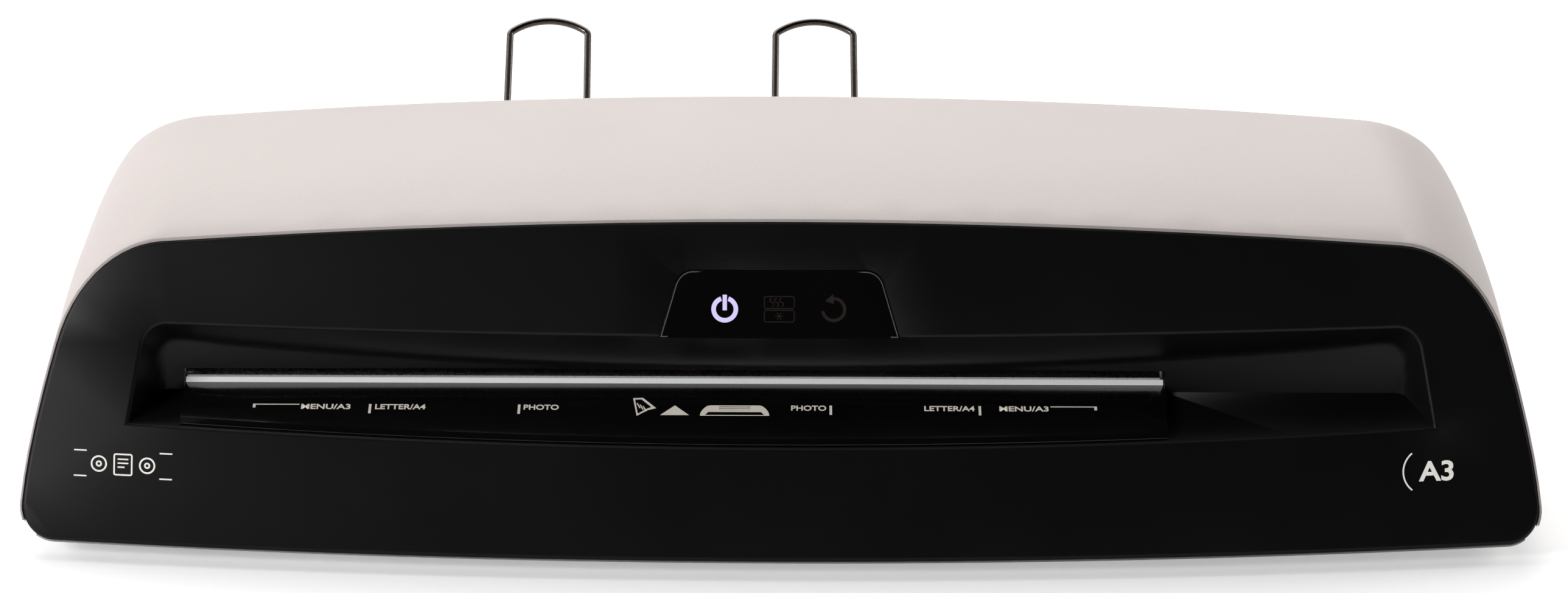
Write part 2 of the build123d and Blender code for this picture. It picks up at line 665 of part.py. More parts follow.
def build_motor():
    """A synchronous gear motor on an L bracket, with its output shaft in the pinion."""
    face_x = gear_x + gear_width + 2.6
    y, z = pinion_centre
    with BuildPart() as bracket:
        add(block(face_x, face_x + 1.6, y - 27, y + 27, floor_z, z + 20))
        add(block(face_x, face_x + 14, y - 27, y + 27, floor_z, floor_z + 1.6))
        fillet(bracket.edges().filter_by(Axis.X).group_by(Axis.Z)[-1], 8)
        add(bar(face_x - 1, face_x + 3, pinion_centre, 6), mode=Mode.SUBTRACT)
    save(bracket, "motor_bracket")
    with BuildPart() as motor:
        add(bar(face_x + 1.6, face_x + 13, pinion_centre, 20))
        add(bar(face_x + 13, face_x + 42, pinion_centre, 18))
        fillet(motor.edges().group_by(Axis.X)[-1], 2)
        for side in (-1, 1):
            add(bar(face_x + 1.6, face_x + 3.0, (y + side * 22.5, z), 3.5))
            low, high = sorted((y + side * 18, y + side * 22.5))
            add(block(face_x + 1.6, face_x + 3.0, low, high, z - 3.5, z + 3.5))
            add(bar(face_x, face_x + 5, (y + side * 22.5, z), 1.6), mode=Mode.SUBTRACT)
        add(bar(face_x + 1, face_x + 8, pinion_centre, 2.5 + running_gap), mode=Mode.SUBTRACT)
    save(motor, "gear_motor")
    with BuildPart() as spindle:
        add(bar(gear_x - 1.2, face_x + 7.8, pinion_centre, 2.5))
    save(spindle, "motor_shaft")


# ---------------------------------------------------------------- entry sensor
def build_sensor():
    """A sprung flag that the pouch pushes back, and the optical fork it swings out of."""
    pivot = on_path(sensor_s, sensor_h)
    with BuildPart() as flag:
        add(bar(sensor_x - 7, sensor_x + 7, pivot, 1.5))
        with BuildSketch(across(sensor_x - 0.8)):
            outline([on_path(sensor_s - 1.5, sensor_h), on_path(sensor_s + 1.5, sensor_h),
                     on_path(sensor_s + 1.8, 0.6), on_path(sensor_s + 0.6, 1.8), on_path(sensor_s - 0.6, 1.4)])
            outline([on_path(sensor_s - 2.4, sensor_h), on_path(sensor_s + 2.4, sensor_h),
                     on_path(sensor_s + 3.4, sensor_h - 8), on_path(sensor_s - 1.4, sensor_h - 8)])
        extrude(amount=1.6)
    save(flag, "sensor_flag")
    py, pz = pivot
    with BuildPart() as holder:
        add(block(sensor_x - 9, sensor_x + 9, py - 4, py + 22, floor_z, floor_z + 2))
        for x in (sensor_x - 6, sensor_x + 4):
            add(block(x, x + 2, py - 4, py + 4, floor_z, pz + 4))
        add(bar(sensor_x - 8, sensor_x + 8, pivot, 1.5 + running_gap), mode=Mode.SUBTRACT)
    save(holder, "sensor_bracket")
    fork_y, fork_z = on_path(sensor_s + 1.5, sensor_h - 8)
    with BuildPart() as fork:
        add(block(sensor_x - 3.2, sensor_x + 3.2, fork_y - 3, fork_y + 3, floor_z + 2, fork_z + 2.5))
        add(block(sensor_x - 1.6, sensor_x + 1.6, fork_y - 9, fork_y + 9, fork_z - 2.5, fork_z + 9),
            mode=Mode.SUBTRACT)
    save(fork, "sensor_fork")


# ---------------------------------------------------------------- electronics under the pouch path
board_z, board_thickness = 13.0, 1.6
board_x, board_depth = (-200.0, -44.0), (68.0, 148.0)


def on_board(x, depth, height, width, length):
    """A component's body standing on the main board."""
    top = board_z + board_thickness
    y = front_y + depth
    return block(x - width / 2, x + width / 2, y - length / 2, y + length / 2, top, top + height)


def build_electronics():
    """The main board on its posts, with transformer, relay, capacitors, terminals and heat sink."""
    y0, y1 = front_y + board_depth[0], front_y + board_depth[1]
    corners = [(x, y) for x in (board_x[0] + 5, board_x[1] - 5) for y in (y0 + 5, y1 - 5)]
    with BuildPart() as board:
        add(block(*board_x, y0, y1, board_z, board_z + board_thickness))
        for place in corners:
            add(post(*place, 0, 30, 1.7), mode=Mode.SUBTRACT)
    save(board, "main_board")
    with BuildPart() as posts:
        for place in corners:
            add(post(*place, floor_z, board_z, 3.2))
            add(post(*place, board_z, board_z + board_thickness + 1.2, 1.6))
            add(post(*place, board_z + board_thickness, board_z + board_thickness + 1.4, 2.6))
    save(posts, "board_posts")
    with BuildPart() as transformer:
        add(on_board(-176, 102, 5, 34, 30))
        add(on_board(-176, 102, 20, 34, 14))
        add(on_board(-176, 102, 18, 20, 28))
    save(transformer, "transformer")
    with BuildPart() as relay:
        add(on_board(-140, 84, 15.5, 19, 15.5))
        chamfer(relay.edges().group_by(Axis.Z)[-1], 0.6)
    save(relay, "relay")
    with BuildPart() as capacitors:
        for x, depth, radius, height in ((-140, 108, 6.3, 20), (-124, 108, 5, 16), (-111, 108, 5, 16)):
            add(post(x, front_y + depth, board_z + board_thickness, board_z + board_thickness + height, radius))
        fillet(capacitors.edges().group_by(Axis.Z)[-1], 0.8)
    save(capacitors, "capacitors")
    with BuildPart() as terminals:
        add(on_board(-60, 116, 11, 12, 40))
        for n in range(5):
            y = front_y + 100 + 8 * n
            add(block(-56, -50, y - 2.2, y + 2.2, board_z + 3, board_z + 7), mode=Mode.SUBTRACT)
    save(terminals, "terminal_block")
    with BuildPart() as sink:
        add(on_board(-92, 106, 20, 3, 26))
        for n in range(7):
            y = front_y + 94 + n * 3.8
            add(block(-90.5, -80, y, y + 1.2, board_z + board_thickness, board_z + board_thickness + 20))
    save(sink, "heat_sink")


# ---------------------------------------------------------------- rear fittings
leg_half_spacing = 15.5
wire_places = (path_centre_x - 51.0, path_centre_x + 51.0)
pivot_y, pivot_z = at(*wire_pivot)
wire_lug = (pivot_y, pivot_z)


def build_exit_bezel():
    """The bezel round the exit slot, with the lugs that the wire supports pivot in."""
    with BuildPart() as bezel:
        add(path_block(179.7, 114.5, 150, -6.8, 6.8) & casing(-1.0))
        add((path_block(182.5, 114, 150, -9.6, 9.6) & casing(-1.0)) - casing(-0.05))
        for centre_x in wire_places:
            for side in (-1, 1):
                x = centre_x + side * leg_half_spacing
                low, high = sorted((x + side * 2.6, x + side * 8.6))
                add(block(low, high, rear_y + 0.05, pivot_y + 1, pivot_z - 3.4, pivot_z + 3.4))
                add(bar(low, high, wire_lug, 3.4))
                low, high = sorted((x - side * 2.0, x + side * 8.6))
                add(block(low, high, rear_y + 0.05, pivot_y + 3.0, pivot_z - 7.0, pivot_z - 3.4))
            add(block(centre_x - leg_half_spacing - 8.6, centre_x + leg_half_spacing + 8.6, rear_y + 0.05,
                      rear_y + 1.6, pivot_z - 7.0, pivot_z + 5))
        add(path_block(176.5, 100, 170, -2.8, 2.8), mode=Mode.SUBTRACT)
        for centre_x in wire_places:
            half = leg_half_spacing + 9.6
            add(bar(centre_x - half, centre_x + half, wire_lug, wire_radius + 0.08), mode=Mode.SUBTRACT)
    save(bezel, "exit_bezel")


def build_wire_supports():
    """Two bent wires whose turned-out feet pivot in the bezel's lugs."""
    a = radians(wire_angle)
    length = (machine_depth + reach_behind - wire_radius * sin(a) - wire_pivot[0] - 0.2) / cos(a)
    for name, centre_x in zip(("left_wire_support", "right_wire_support"), wire_places):
        plane = Plane((centre_x, *wire_lug), x_dir=(1, 0, 0), z_dir=(0, -sin(a), cos(a)))
        foot, leg, tip = leg_half_spacing + 8.0, leg_half_spacing, leg_half_spacing - 0.6
        with BuildPart() as wire:
            with BuildLine(plane) as path:
                Line((-foot, 0), (-leg, 0))
                Line((-leg, 0), (-tip, length - 5.5))
                ThreePointArc((-tip, length - 5.5), (0, length), (tip, length - 5.5))
                Line((tip, length - 5.5), (leg, 0))
                Line((leg, 0), (foot, 0))
                corners = [v for v in path.vertices() if abs(abs((plane.to_local_coords(v)).X) - foot) > 1]
                fillet(corners, 2.8)
            with BuildSketch(Plane(path.wires()[0] @ 0, z_dir=path.wires()[0] % 0)):
                Circle(wire_radius)
            sweep(path=path.wires()[0])
        save(wire, name)


def build_mains_fittings():
    """The cord gland and the rocker switch in the base pan's rear panel."""
    with BuildPart() as gland:
        with BuildSketch(Plane.XZ.offset(-(rear_y - 8))):
            with Locations((gland_x, gland_z)):
                Circle(7.0)
        extrude(amount=-8)
        with BuildSketch(Plane.XZ.offset(-rear_y)):
            with Locations((gland_x, gland_z)):
                Circle(9.5)
        extrude(amount=-6, taper=12)
        with BuildSketch(Plane.XZ.offset(-(rear_y - 9))):
            with Locations((gland_x, gland_z)):
                Circle(4.0)
        extrude(amount=-20, mode=Mode.SUBTRACT)
    save(gland, "cord_gland")
    with BuildPart() as housing:
        add(block(switch_x - 6.4, switch_x + 6.4, rear_y - 16, rear_y, switch_z - 9.6, switch_z + 9.6))
        add(block(switch_x - 7.6, switch_x + 7.6, rear_y, rear_y + 1.8, switch_z - 10.8, switch_z + 10.8))
        add(block(switch_x - 5.0, switch_x + 5.0, rear_y - 9, rear_y + 5, switch_z - 8.6, switch_z + 8.6),
            mode=Mode.SUBTRACT)
        for z in (switch_z - 6, switch_z, switch_z + 6):
            add(block(switch_x - 2.4, switch_x + 2.4, rear_y - 23, rear_y - 16, z - 0.4, z + 0.4))
    save(housing, "switch_housing")
    hinge_y = rear_y - 3.0
    with BuildPart() as rocker:
        with BuildSketch(across(switch_x - 4.7)):
            with BuildLine():
                Polyline((hinge_y - 4, switch_z - 1.5), (hinge_y - 4, switch_z + 1.5),
                         (hinge_y - 0.6, switch_z + 9.0), (hinge_y + 3.4, switch_z + 9.0),
                         (hinge_y + 4.6, switch_z - 0.7), (hinge_y + 7.0, switch_z - 9.0),
                         (hinge_y + 1.8, switch_z - 9.0), close=True)
            make_face()
            with Locations((hinge_y, switch_z)):
                Circle(8.4, mode=Mode.INTERSECT)
        extrude(amount=9.4)
        fillet(rocker.edges().filter_by(Axis.X).group_by(Axis.Y)[-1], 0.6)
    save(rocker, "switch_rocker")


if __name__ == "__main__":
    build_top_cover()
    build_base_pan()
    build_feet_and_screws()
    build_front_fascia()
    build_entry_tray()
    build_controls()
    build_frame_plates()
    build_guides()
    build_heaters()
    build_rollers()
    build_bushes()
    build_pressure_springs()
    build_gear_train()
    build_motor()
    build_sensor()
    build_electronics()
    build_exit_bezel()
    build_wire_supports()
    build_mains_fittings()
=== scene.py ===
import bmesh
import bpy
from math import cos, hypot, pi, radians, sin
from mathutils import Matrix, Vector
from mathutils.bvhtree import BVHTree


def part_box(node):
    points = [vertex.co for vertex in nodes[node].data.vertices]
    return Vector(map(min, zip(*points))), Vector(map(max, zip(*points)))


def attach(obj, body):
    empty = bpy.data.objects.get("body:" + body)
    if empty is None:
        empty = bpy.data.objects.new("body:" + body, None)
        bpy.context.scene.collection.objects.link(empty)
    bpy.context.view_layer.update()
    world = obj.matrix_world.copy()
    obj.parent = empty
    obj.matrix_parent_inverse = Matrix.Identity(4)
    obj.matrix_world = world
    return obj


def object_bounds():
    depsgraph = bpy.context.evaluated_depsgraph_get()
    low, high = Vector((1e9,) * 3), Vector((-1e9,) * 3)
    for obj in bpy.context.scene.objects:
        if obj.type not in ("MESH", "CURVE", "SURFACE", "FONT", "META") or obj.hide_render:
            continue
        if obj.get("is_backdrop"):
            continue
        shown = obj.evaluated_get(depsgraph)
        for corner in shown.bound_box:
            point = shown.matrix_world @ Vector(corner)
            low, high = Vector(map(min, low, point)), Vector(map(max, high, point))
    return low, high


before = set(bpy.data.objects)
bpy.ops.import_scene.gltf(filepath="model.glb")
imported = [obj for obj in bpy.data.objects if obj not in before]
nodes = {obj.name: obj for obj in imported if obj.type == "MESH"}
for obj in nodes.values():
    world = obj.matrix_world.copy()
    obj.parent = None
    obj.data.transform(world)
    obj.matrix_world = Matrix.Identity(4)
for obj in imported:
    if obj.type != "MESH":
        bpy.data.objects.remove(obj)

mm = 0.001
cad_low, cad_high = (Vector(corner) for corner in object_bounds())

# ---------------------------------------------------------------- studio floor
# A seamless pale sweep under the machine, matt so that it takes only a soft contact shadow.
floor_material = bpy.data.materials.new("studio_floor")
floor_material.use_nodes = True
floor_shader = floor_material.node_tree.nodes["Principled BSDF"]
floor_shader.inputs["Base Color"].default_value = (0.93, 0.93, 0.93, 1)
floor_shader.inputs["Roughness"].default_value = 0.9
floor_shader.inputs["Specular IOR Level"].default_value = 0.1
floor_shader.inputs["Emission Color"].default_value = (1, 1, 1, 1)
floor_seen = floor_material.node_tree.nodes.new("ShaderNodeLightPath")
floor_lift = floor_material.node_tree.nodes.new("ShaderNodeMath")
floor_lift.operation = "MULTIPLY"
floor_lift.inputs[1].default_value = 0.42
floor_material.node_tree.links.new(floor_seen.outputs["Is Camera Ray"], floor_lift.inputs[0])
floor_material.node_tree.links.new(floor_lift.outputs["Value"], floor_shader.inputs["Emission Strength"])
floor_mesh = bpy.data.meshes.new("studio_floor")
floor_half = 9.0
floor_mesh.from_pydata([(-floor_half, -floor_half, -0.0002), (floor_half, -floor_half, -0.0002),
                        (floor_half, floor_half, -0.0002), (-floor_half, floor_half, -0.0002)], [], [(0, 1, 2, 3)])
floor_mesh.materials.append(floor_material)
studio_floor = bpy.data.objects.new("studio_floor", floor_mesh)
bpy.context.scene.collection.objects.link(studio_floor)
studio_floor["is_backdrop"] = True

# ---------------------------------------------------------------- studio light
# A white sweep behind the machine and a dark studio in front of it, so that the cover is bright and the
# fascia stays black. A large softbox hangs overhead, one stands at each side, and one at the front left
# gives the fascia its sheen.
world = bpy.data.worlds.new("studio_room")
bpy.context.scene.world = world
world.use_nodes = True
room_tree = world.node_tree
room_glow = room_tree.nodes["Background"]
room_direction = room_tree.nodes.new("ShaderNodeTexCoord")
room_axes = room_tree.nodes.new("ShaderNodeSeparateXYZ")
room_tree.links.new(room_direction.outputs["Generated"], room_axes.inputs[0])
room_level = room_tree.nodes.new("ShaderNodeMapRange")
room_level.interpolation_type = "SMOOTHSTEP"
for socket, value in (("From Min", -0.25), ("From Max", 0.55), ("To Min", 0.008), ("To Max", 0.62)):
    room_level.inputs[socket].default_value = value
room_tree.links.new(room_axes.outputs["Y"], room_level.inputs["Value"])
room_path = room_tree.nodes.new("ShaderNodeLightPath")
room_seen = room_tree.nodes.new("ShaderNodeMix")
room_seen.data_type = "FLOAT"
room_seen.inputs["B"].default_value = 1.0
room_tree.links.new(room_path.outputs["Is Camera Ray"], room_seen.inputs["Factor"])
room_tree.links.new(room_level.outputs["Result"], room_seen.inputs["A"])
room_tree.links.new(room_seen.outputs["Result"], room_glow.inputs["Strength"])
room_glow.inputs["Color"].default_value = (1, 1, 1, 1)


def softbox(name, place, aim, width, height, watts, colour=(1, 1, 1)):
    """A rectangular area light at place, turned towards aim."""
    lamp = bpy.data.lights.new(name, "AREA")
    lamp.shape = "RECTANGLE"
    lamp.size, lamp.size_y, lamp.energy, lamp.color = width, height, watts, colour
    box = bpy.data.objects.new(name, lamp)
    box.location = place
    box.rotation_euler = (Vector(aim) - Vector(place)).to_track_quat("-Z", "Y").to_euler()
    bpy.context.scene.collection.objects.link(box)


softbox("overhead_softbox", (-0.25, 1.15, 1.65), (0, 0, 0.08), 2.8, 1.2, 32, (1, 0.98, 0.965))
softbox("front_left_softbox", (-1.75, -1.25, 1.0), (-0.1, -0.1, 0.06), 0.6, 0.6, 20, (1, 0.97, 0.985))
softbox("left_softbox", (-1.9, 0.5, 0.9), (-0.1, 0, 0.08), 0.8, 0.8, 10, (1, 0.99, 0.99))
softbox("right_softbox", (1.9, 0.6, 0.9), (0.1, 0, 0.08), 0.8, 0.8, 11, (1, 0.98, 0.98))

# ---------------------------------------------------------------- camera
# Twenty degrees above the table and about two metres away, looking straight at the front.
camera_data = bpy.data.cameras.new("camera")
camera_data.sensor_width = 36.0
camera_data.lens = 130.8
camera_data.clip_end = 50
camera = bpy.data.objects.new("camera", camera_data)
camera_elevation = radians(20.0)
camera_reach = 2.0625
camera_aim = Vector((0.86 * mm, cad_low.y + 100 * mm, 68.3 * mm))
camera.location = camera_aim - camera_reach * Vector((0, cos(camera_elevation), -sin(camera_elevation)))
camera.rotation_euler = (pi / 2 - camera_elevation, 0, 0)
camera.rotation_euler.rotate_axis("Z", radians(0.2))
bpy.context.scene.collection.objects.link(camera)
bpy.context.scene.camera = camera
bpy.context.scene.view_settings.view_transform = "Standard"

# ---------------------------------------------------------------- top cover
# One moulded shell in light silver metallic paint with a fine flake.


def shader_node(tree, kind, settings=None, **inputs):
    """Adds a node, sets its properties from settings and its input values by name."""
    node = tree.nodes.new(kind)
    for key, value in (settings or {}).items():
        setattr(node, key, value)
    for key, value in inputs.items():
        node.inputs[key.replace("_", " ")].default_value = value
    return node


def new_group(name, inputs, outputs):
    """An empty shader node group with named float inputs and named outputs."""
    group = bpy.data.node_groups.new(name, "ShaderNodeTree")
    for socket, value in inputs:
        made = group.interface.new_socket(name=socket, in_out="INPUT", socket_type="NodeSocketFloat")
        made.default_value = value
    for socket, kind in outputs:
        group.interface.new_socket(name=socket, in_out="OUTPUT", socket_type=kind)
    return group, group.nodes.new("NodeGroupInput"), group.nodes.new("NodeGroupOutput")


def speckle_group():
    """Fine speckle at one size with slow drift at another: a 0 to 1 value for paint flake and grain."""
    group, given, result = new_group("speckle", [("Size mm", 0.4), ("Drift mm", 60.0), ("Contrast", 1.0)],
                                     [("Speckle", "NodeSocketFloat"), ("Drift", "NodeSocketFloat")])
    place = shader_node(group, "ShaderNodeTexCoord")
    for socket, size, detail, output in (("Size mm", 0.4, 3.0, "Speckle"), ("Drift mm", 60.0, 2.0, "Drift")):
        scale = shader_node(group, "ShaderNodeMath", {"operation": "DIVIDE"})
        scale.inputs[0].default_value = 1000.0
        group.links.new(given.outputs[socket], scale.inputs[1])
        noise = shader_node(group, "ShaderNodeTexNoise", Detail=detail, Roughness=0.6)
        group.links.new(place.outputs["Object"], noise.inputs["Vector"])
        group.links.new(scale.outputs[0], noise.inputs["Scale"])
        spread = shader_node(group, "ShaderNodeMapRange", {"clamp": True})
        spread.inputs["From Min"].default_value = 0.3
        spread.inputs["From Max"].default_value = 0.7
        group.links.new(noise.outputs["Fac"], spread.inputs["Value"])
        if output == "Speckle":
            deepen = shader_node(group, "ShaderNodeMath", {"operation": "POWER"})
            group.links.new(spread.outputs["Result"], deepen.inputs[0])
            group.links.new(given.outputs["Contrast"], deepen.inputs[1])
            group.links.new(deepen.outputs[0], result.inputs[output])
        else:
            group.links.new(spread.outputs["Result"], result.inputs[output])
    return group


def dust_group():
    """Where dust settles: upward faces, in soft patches. A 0 to 1 mask."""
    group, given, result = new_group("settled_dust", [("Amount", 0.2)], [("Dust", "NodeSocketFloat")])
    surface = shader_node(group, "ShaderNodeNewGeometry")
    up = shader_node(group, "ShaderNodeSeparateXYZ")
    group.links.new(surface.outputs["Normal"], up.inputs[0])
    facing = shader_node(group, "ShaderNodeMapRange", {"clamp": True})
    facing.inputs["From Min"].default_value = 0.35
    facing.inputs["From Max"].default_value = 1.0
    group.links.new(up.outputs["Z"], facing.inputs["Value"])
    place = shader_node(group, "ShaderNodeTexCoord")
    patches = shader_node(group, "ShaderNodeTexNoise", Scale=38.0, Detail=6.0, Roughness=0.7)
    group.links.new(place.outputs["Object"], patches.inputs["Vector"])
    product = shader_node(group, "ShaderNodeMath", {"operation": "MULTIPLY"})
    group.links.new(facing.outputs["Result"], product.inputs[0])
    group.links.new(patches.outputs["Fac"], product.inputs[1])
    scaled = shader_node(group, "ShaderNodeMath", {"operation": "MULTIPLY"})
    group.links.new(product.outputs[0], scaled.inputs[0])
    group.links.new(given.outputs["Amount"], scaled.inputs[1])
    group.links.new(scaled.outputs[0], result.inputs["Dust"])
    return group


def edge_group():
    """Convex edges, where handling polishes or wears a surface. A 0 to 1 mask."""
    group, given, result = new_group("worn_edges", [("Amount", 0.5)], [("Edge", "NodeSocketFloat")])
    surface = shader_node(group, "ShaderNodeNewGeometry")
    sharp = shader_node(group, "ShaderNodeMapRange", {"clamp": True})
    sharp.inputs["From Min"].default_value = 0.52
    sharp.inputs["From Max"].default_value = 0.62
    group.links.new(surface.outputs["Pointiness"], sharp.inputs["Value"])
    place = shader_node(group, "ShaderNodeTexCoord")
    broken = shader_node(group, "ShaderNodeTexNoise", Scale=220.0, Detail=4.0, Roughness=0.7)
    group.links.new(place.outputs["Object"], broken.inputs["Vector"])
    product = shader_node(group, "ShaderNodeMath", {"operation": "MULTIPLY"})
    group.links.new(sharp.outputs["Result"], product.inputs[0])
    group.links.new(broken.outputs["Fac"], product.inputs[1])
    scaled = shader_node(group, "ShaderNodeMath", {"operation": "MULTIPLY", "use_clamp": True})
    group.links.new(product.outputs[0], scaled.inputs[0])
    group.links.new(given.outputs["Amount"], scaled.inputs[1])
    group.links.new(scaled.outputs[0], result.inputs["Edge"])
    return group


speckle, settled_dust, worn_edges = speckle_group(), dust_group(), edge_group()


def finish(name, low, high, rough, speck_mm, contrast=1.0, drift=0.15, dust=0.0, wear=0.0, worn=(1, 1, 1),
           bump_mm=0.0, ripple_mm=0.0, **sockets):
    """A material whose colour and roughness vary between two values by speckle, drift, dust and edge wear.

    low and high are the two colours, rough the two roughnesses. bump_mm is the speckle's height and
    ripple_mm that of the slow drift. sockets set constant values on the shader itself.
    """
    material = bpy.data.materials.new(name)
    material.use_nodes = True
    tree = material.node_tree
    shader = tree.nodes["Principled BSDF"]
    for key, value in sockets.items():
        shader.inputs[key.replace("_", " ")].default_value = value
    grain = shader_node(tree, "ShaderNodeGroup", {"node_tree": speckle})
    grain.inputs["Size mm"].default_value = speck_mm
    grain.inputs["Contrast"].default_value = contrast
    both = shader_node(tree, "ShaderNodeMix", {"data_type": "FLOAT"})
    both.inputs["Factor"].default_value = drift
    tree.links.new(grain.outputs["Speckle"], both.inputs["A"])
    tree.links.new(grain.outputs["Drift"], both.inputs["B"])
    colour = shader_node(tree, "ShaderNodeMix", {"data_type": "RGBA"})
    colour.inputs["A"].default_value = (*low, 1)
    colour.inputs["B"].default_value = (*high, 1)
    tree.links.new(both.outputs["Result"], colour.inputs["Factor"])
    roughness = shader_node(tree, "ShaderNodeMapRange", {"clamp": True})
    roughness.inputs["To Min"].default_value = rough[0]
    roughness.inputs["To Max"].default_value = rough[1]
    tree.links.new(both.outputs["Result"], roughness.inputs["Value"])
    last_colour, last_rough = colour.outputs["Result"], roughness.outputs["Result"]
    for amount, group, output, tint, level in ((wear, worn_edges, "Edge", worn, rough[0]),
                                               (dust, settled_dust, "Dust", (0.55, 0.53, 0.50), 0.85)):
        if not amount:
            continue
        mask = shader_node(tree, "ShaderNodeGroup", {"node_tree": group})
        mask.inputs["Amount"].default_value = amount
        over = shader_node(tree, "ShaderNodeMix", {"data_type": "RGBA"})
        over.inputs["B"].default_value = (*tint, 1)
        tree.links.new(mask.outputs[output], over.inputs["Factor"])
        tree.links.new(last_colour, over.inputs["A"])
        rougher = shader_node(tree, "ShaderNodeMix", {"data_type": "FLOAT"})
        rougher.inputs["B"].default_value = level
        tree.links.new(mask.outputs[output], rougher.inputs["Factor"])
        tree.links.new(last_rough, rougher.inputs["A"])
        last_colour, last_rough = over.outputs["Result"], rougher.outputs["Result"]
    tree.links.new(last_colour, shader.inputs["Base Color"])
    tree.links.new(last_rough, shader.inputs["Roughness"])
    normal = None
    for height, output in ((bump_mm, "Speckle"), (ripple_mm, "Drift")):
        if height:
            bump = shader_node(tree, "ShaderNodeBump", Distance=height * mm, Strength=1.0)
            tree.links.new(grain.outputs[output], bump.inputs["Height"])
            if normal:
                tree.links.new(normal, bump.inputs["Normal"])
            normal = bump.outputs["Normal"]
    if normal:
        tree.links.new(normal, shader.inputs["Normal"])
    return material


def dress(name, material, edge_mm=0.0, segments=2, crease=32.0):
    """Gives a machine part its material, welds its facets for smooth shading and rounds its edges."""
    part = nodes[name]
    part.data.materials.clear()
    part.data.materials.append(material)
    part.data.polygons.foreach_set("use_smooth", [True] * len(part.data.polygons))
    weld = part.modifiers.new("weld", "WELD")
    weld.merge_threshold = 0.002 * mm
    if edge_mm:
        rounding = part.modifiers.new("rounding", "BEVEL")
        rounding.width = edge_mm * mm
        rounding.segments = segments
        rounding.limit_method = "ANGLE"
        rounding.angle_limit = radians(crease)
        rounding.use_clamp_overlap = True
        rounding.harden_normals = True
    else:
        split = part.modifiers.new("creases", "EDGE_SPLIT")
        split.split_angle = radians(crease)
    return part


silver_paint = finish("silver_paint", (0.60, 0.552, 0.530), (0.715, 0.662, 0.640), (0.48, 0.60), 0.33, drift=0.2,
                      dust=0.04, bump_mm=0.005, Metallic=0.12, Specular_IOR_Level=0.3)
dress("top_cover", silver_paint, edge_mm=0.25)

# ---------------------------------------------------------------- front fascia
# Satin black ABS with a fine moulded texture, in one piece with the entry recess. A plain page-and-rollers
# sign and the sheet size are printed in its lower corners.
fascia_black = finish("fascia_black", (0.0034, 0.0031, 0.0034), (0.0062, 0.0056, 0.0060), (0.36, 0.46), 0.28,
                      drift=0.3, dust=0.004, bump_mm=0.010, Specular_IOR_Level=0.28)
dress("front_fascia", fascia_black, edge_mm=0.2)


def print_ink(name, low, high, painted_glow_colour, painted_glow):
    """Matt screen-print ink, a little thinner in places, with a painted glow so that it reads bright in the dark
    recess.
    """
    ink = finish(name, low, high, (0.42, 0.6), 0.25, drift=0.3, bump_mm=0.002)
    shader = ink.node_tree.nodes["Principled BSDF"]
    shader.inputs["Emission Color"].default_value = (*painted_glow_colour, 1)
    shader.inputs["Emission Strength"].default_value = painted_glow
    return ink


# White print ink with a painted glow (emission 0.4), used on the fascia signs and the rocker marks.
ink_white = print_ink("ink_white", (0.78, 0.75, 0.70), (0.95, 0.93, 0.89), (0.9, 0.88, 0.82), 0.4)


def flat_shape(outlines, letters=(), ink_mm=0.025):
    """A thin plate in the XY plane, in metres: closed outlines (holes allowed) and words, given in mm.

    letters holds (word, x at its middle, y of its foot, width, height).
    """
    joined = bmesh.new()
    items = []
    if outlines:
        art = bpy.data.curves.new("art", "CURVE")
        art.dimensions, art.fill_mode = "2D", "BOTH"
        for points in outlines:
            spline = art.splines.new("POLY")
            spline.points.add(len(points) - 1)
            for slot_point, (x, y) in zip(spline.points, points):
                slot_point.co = (x * mm, y * mm, 0, 1)
            spline.use_cyclic_u = True
        items.append((art, None))
    for word, x, y, width, height in letters:
        art = bpy.data.curves.new("word", "FONT")
        art.body, art.size, art.offset = word, 0.01, 0.00022
        items.append((art, (x, y, width, height)))
    for art, fit in items:
        art.extrude = ink_mm * mm
        drawn = bpy.data.objects.new("drawn", art)
        bpy.context.scene.collection.objects.link(drawn)
        bpy.context.view_layer.update()
        flat = bpy.data.meshes.new_from_object(drawn.evaluated_get(bpy.context.evaluated_depsgraph_get()))
        bpy.data.objects.remove(drawn)
        if fit:
            x, y, width, height = fit
            xs = [v.co.x for v in flat.vertices]
            ys = [v.co.y for v in flat.vertices]
            for v in flat.vertices:
                v.co.x = ((v.co.x - min(xs)) / (max(xs) - min(xs)) - 0.5) * width * mm + x * mm
                v.co.y = (v.co.y - min(ys)) / (max(ys) - min(ys)) * height * mm + y * mm
        joined.from_mesh(flat)
        bpy.data.meshes.remove(flat)
    bmesh.ops.remove_doubles(joined, verts=joined.verts, dist=1e-7)
    bmesh.ops.recalc_face_normals(joined, faces=joined.faces)
    return joined


def lay_on(name, shape, node, start, along, into, ink, lift_mm=0.03):
    """Lays a flat shape on a machine part: x stays X, y runs along `along` from start, and each point drops
    onto the part in the direction `into`. It rides on the housing."""
    source = bmesh.new()
    source.from_mesh(nodes[node].data)
    surface = BVHTree.FromBMesh(source)
    source.free()
    along, into, start = Vector(along).normalized(), Vector(into).normalized(), Vector(start)
    for v in shape.verts:
        origin = start + Vector((v.co.x, 0, 0)) + along * v.co.y
        hit, normal, _, _ = surface.ray_cast(origin - into * 0.2, into)
        if hit is None:
            hit, normal, _, _ = surface.find_nearest(origin)
        if normal.dot(into) > 0:
            normal = -normal
        v.co = hit + normal * (v.co.z + lift_mm * mm)
    bmesh.ops.recalc_face_normals(shape, faces=shape.faces)
    mesh = bpy.data.meshes.new(name)
    shape.to_mesh(mesh)
    shape.free()
    mesh.materials.append(ink)
    piece = bpy.data.objects.new(name, mesh)
    bpy.context.scene.collection.objects.link(piece)
    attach(piece, "housing")
    return piece


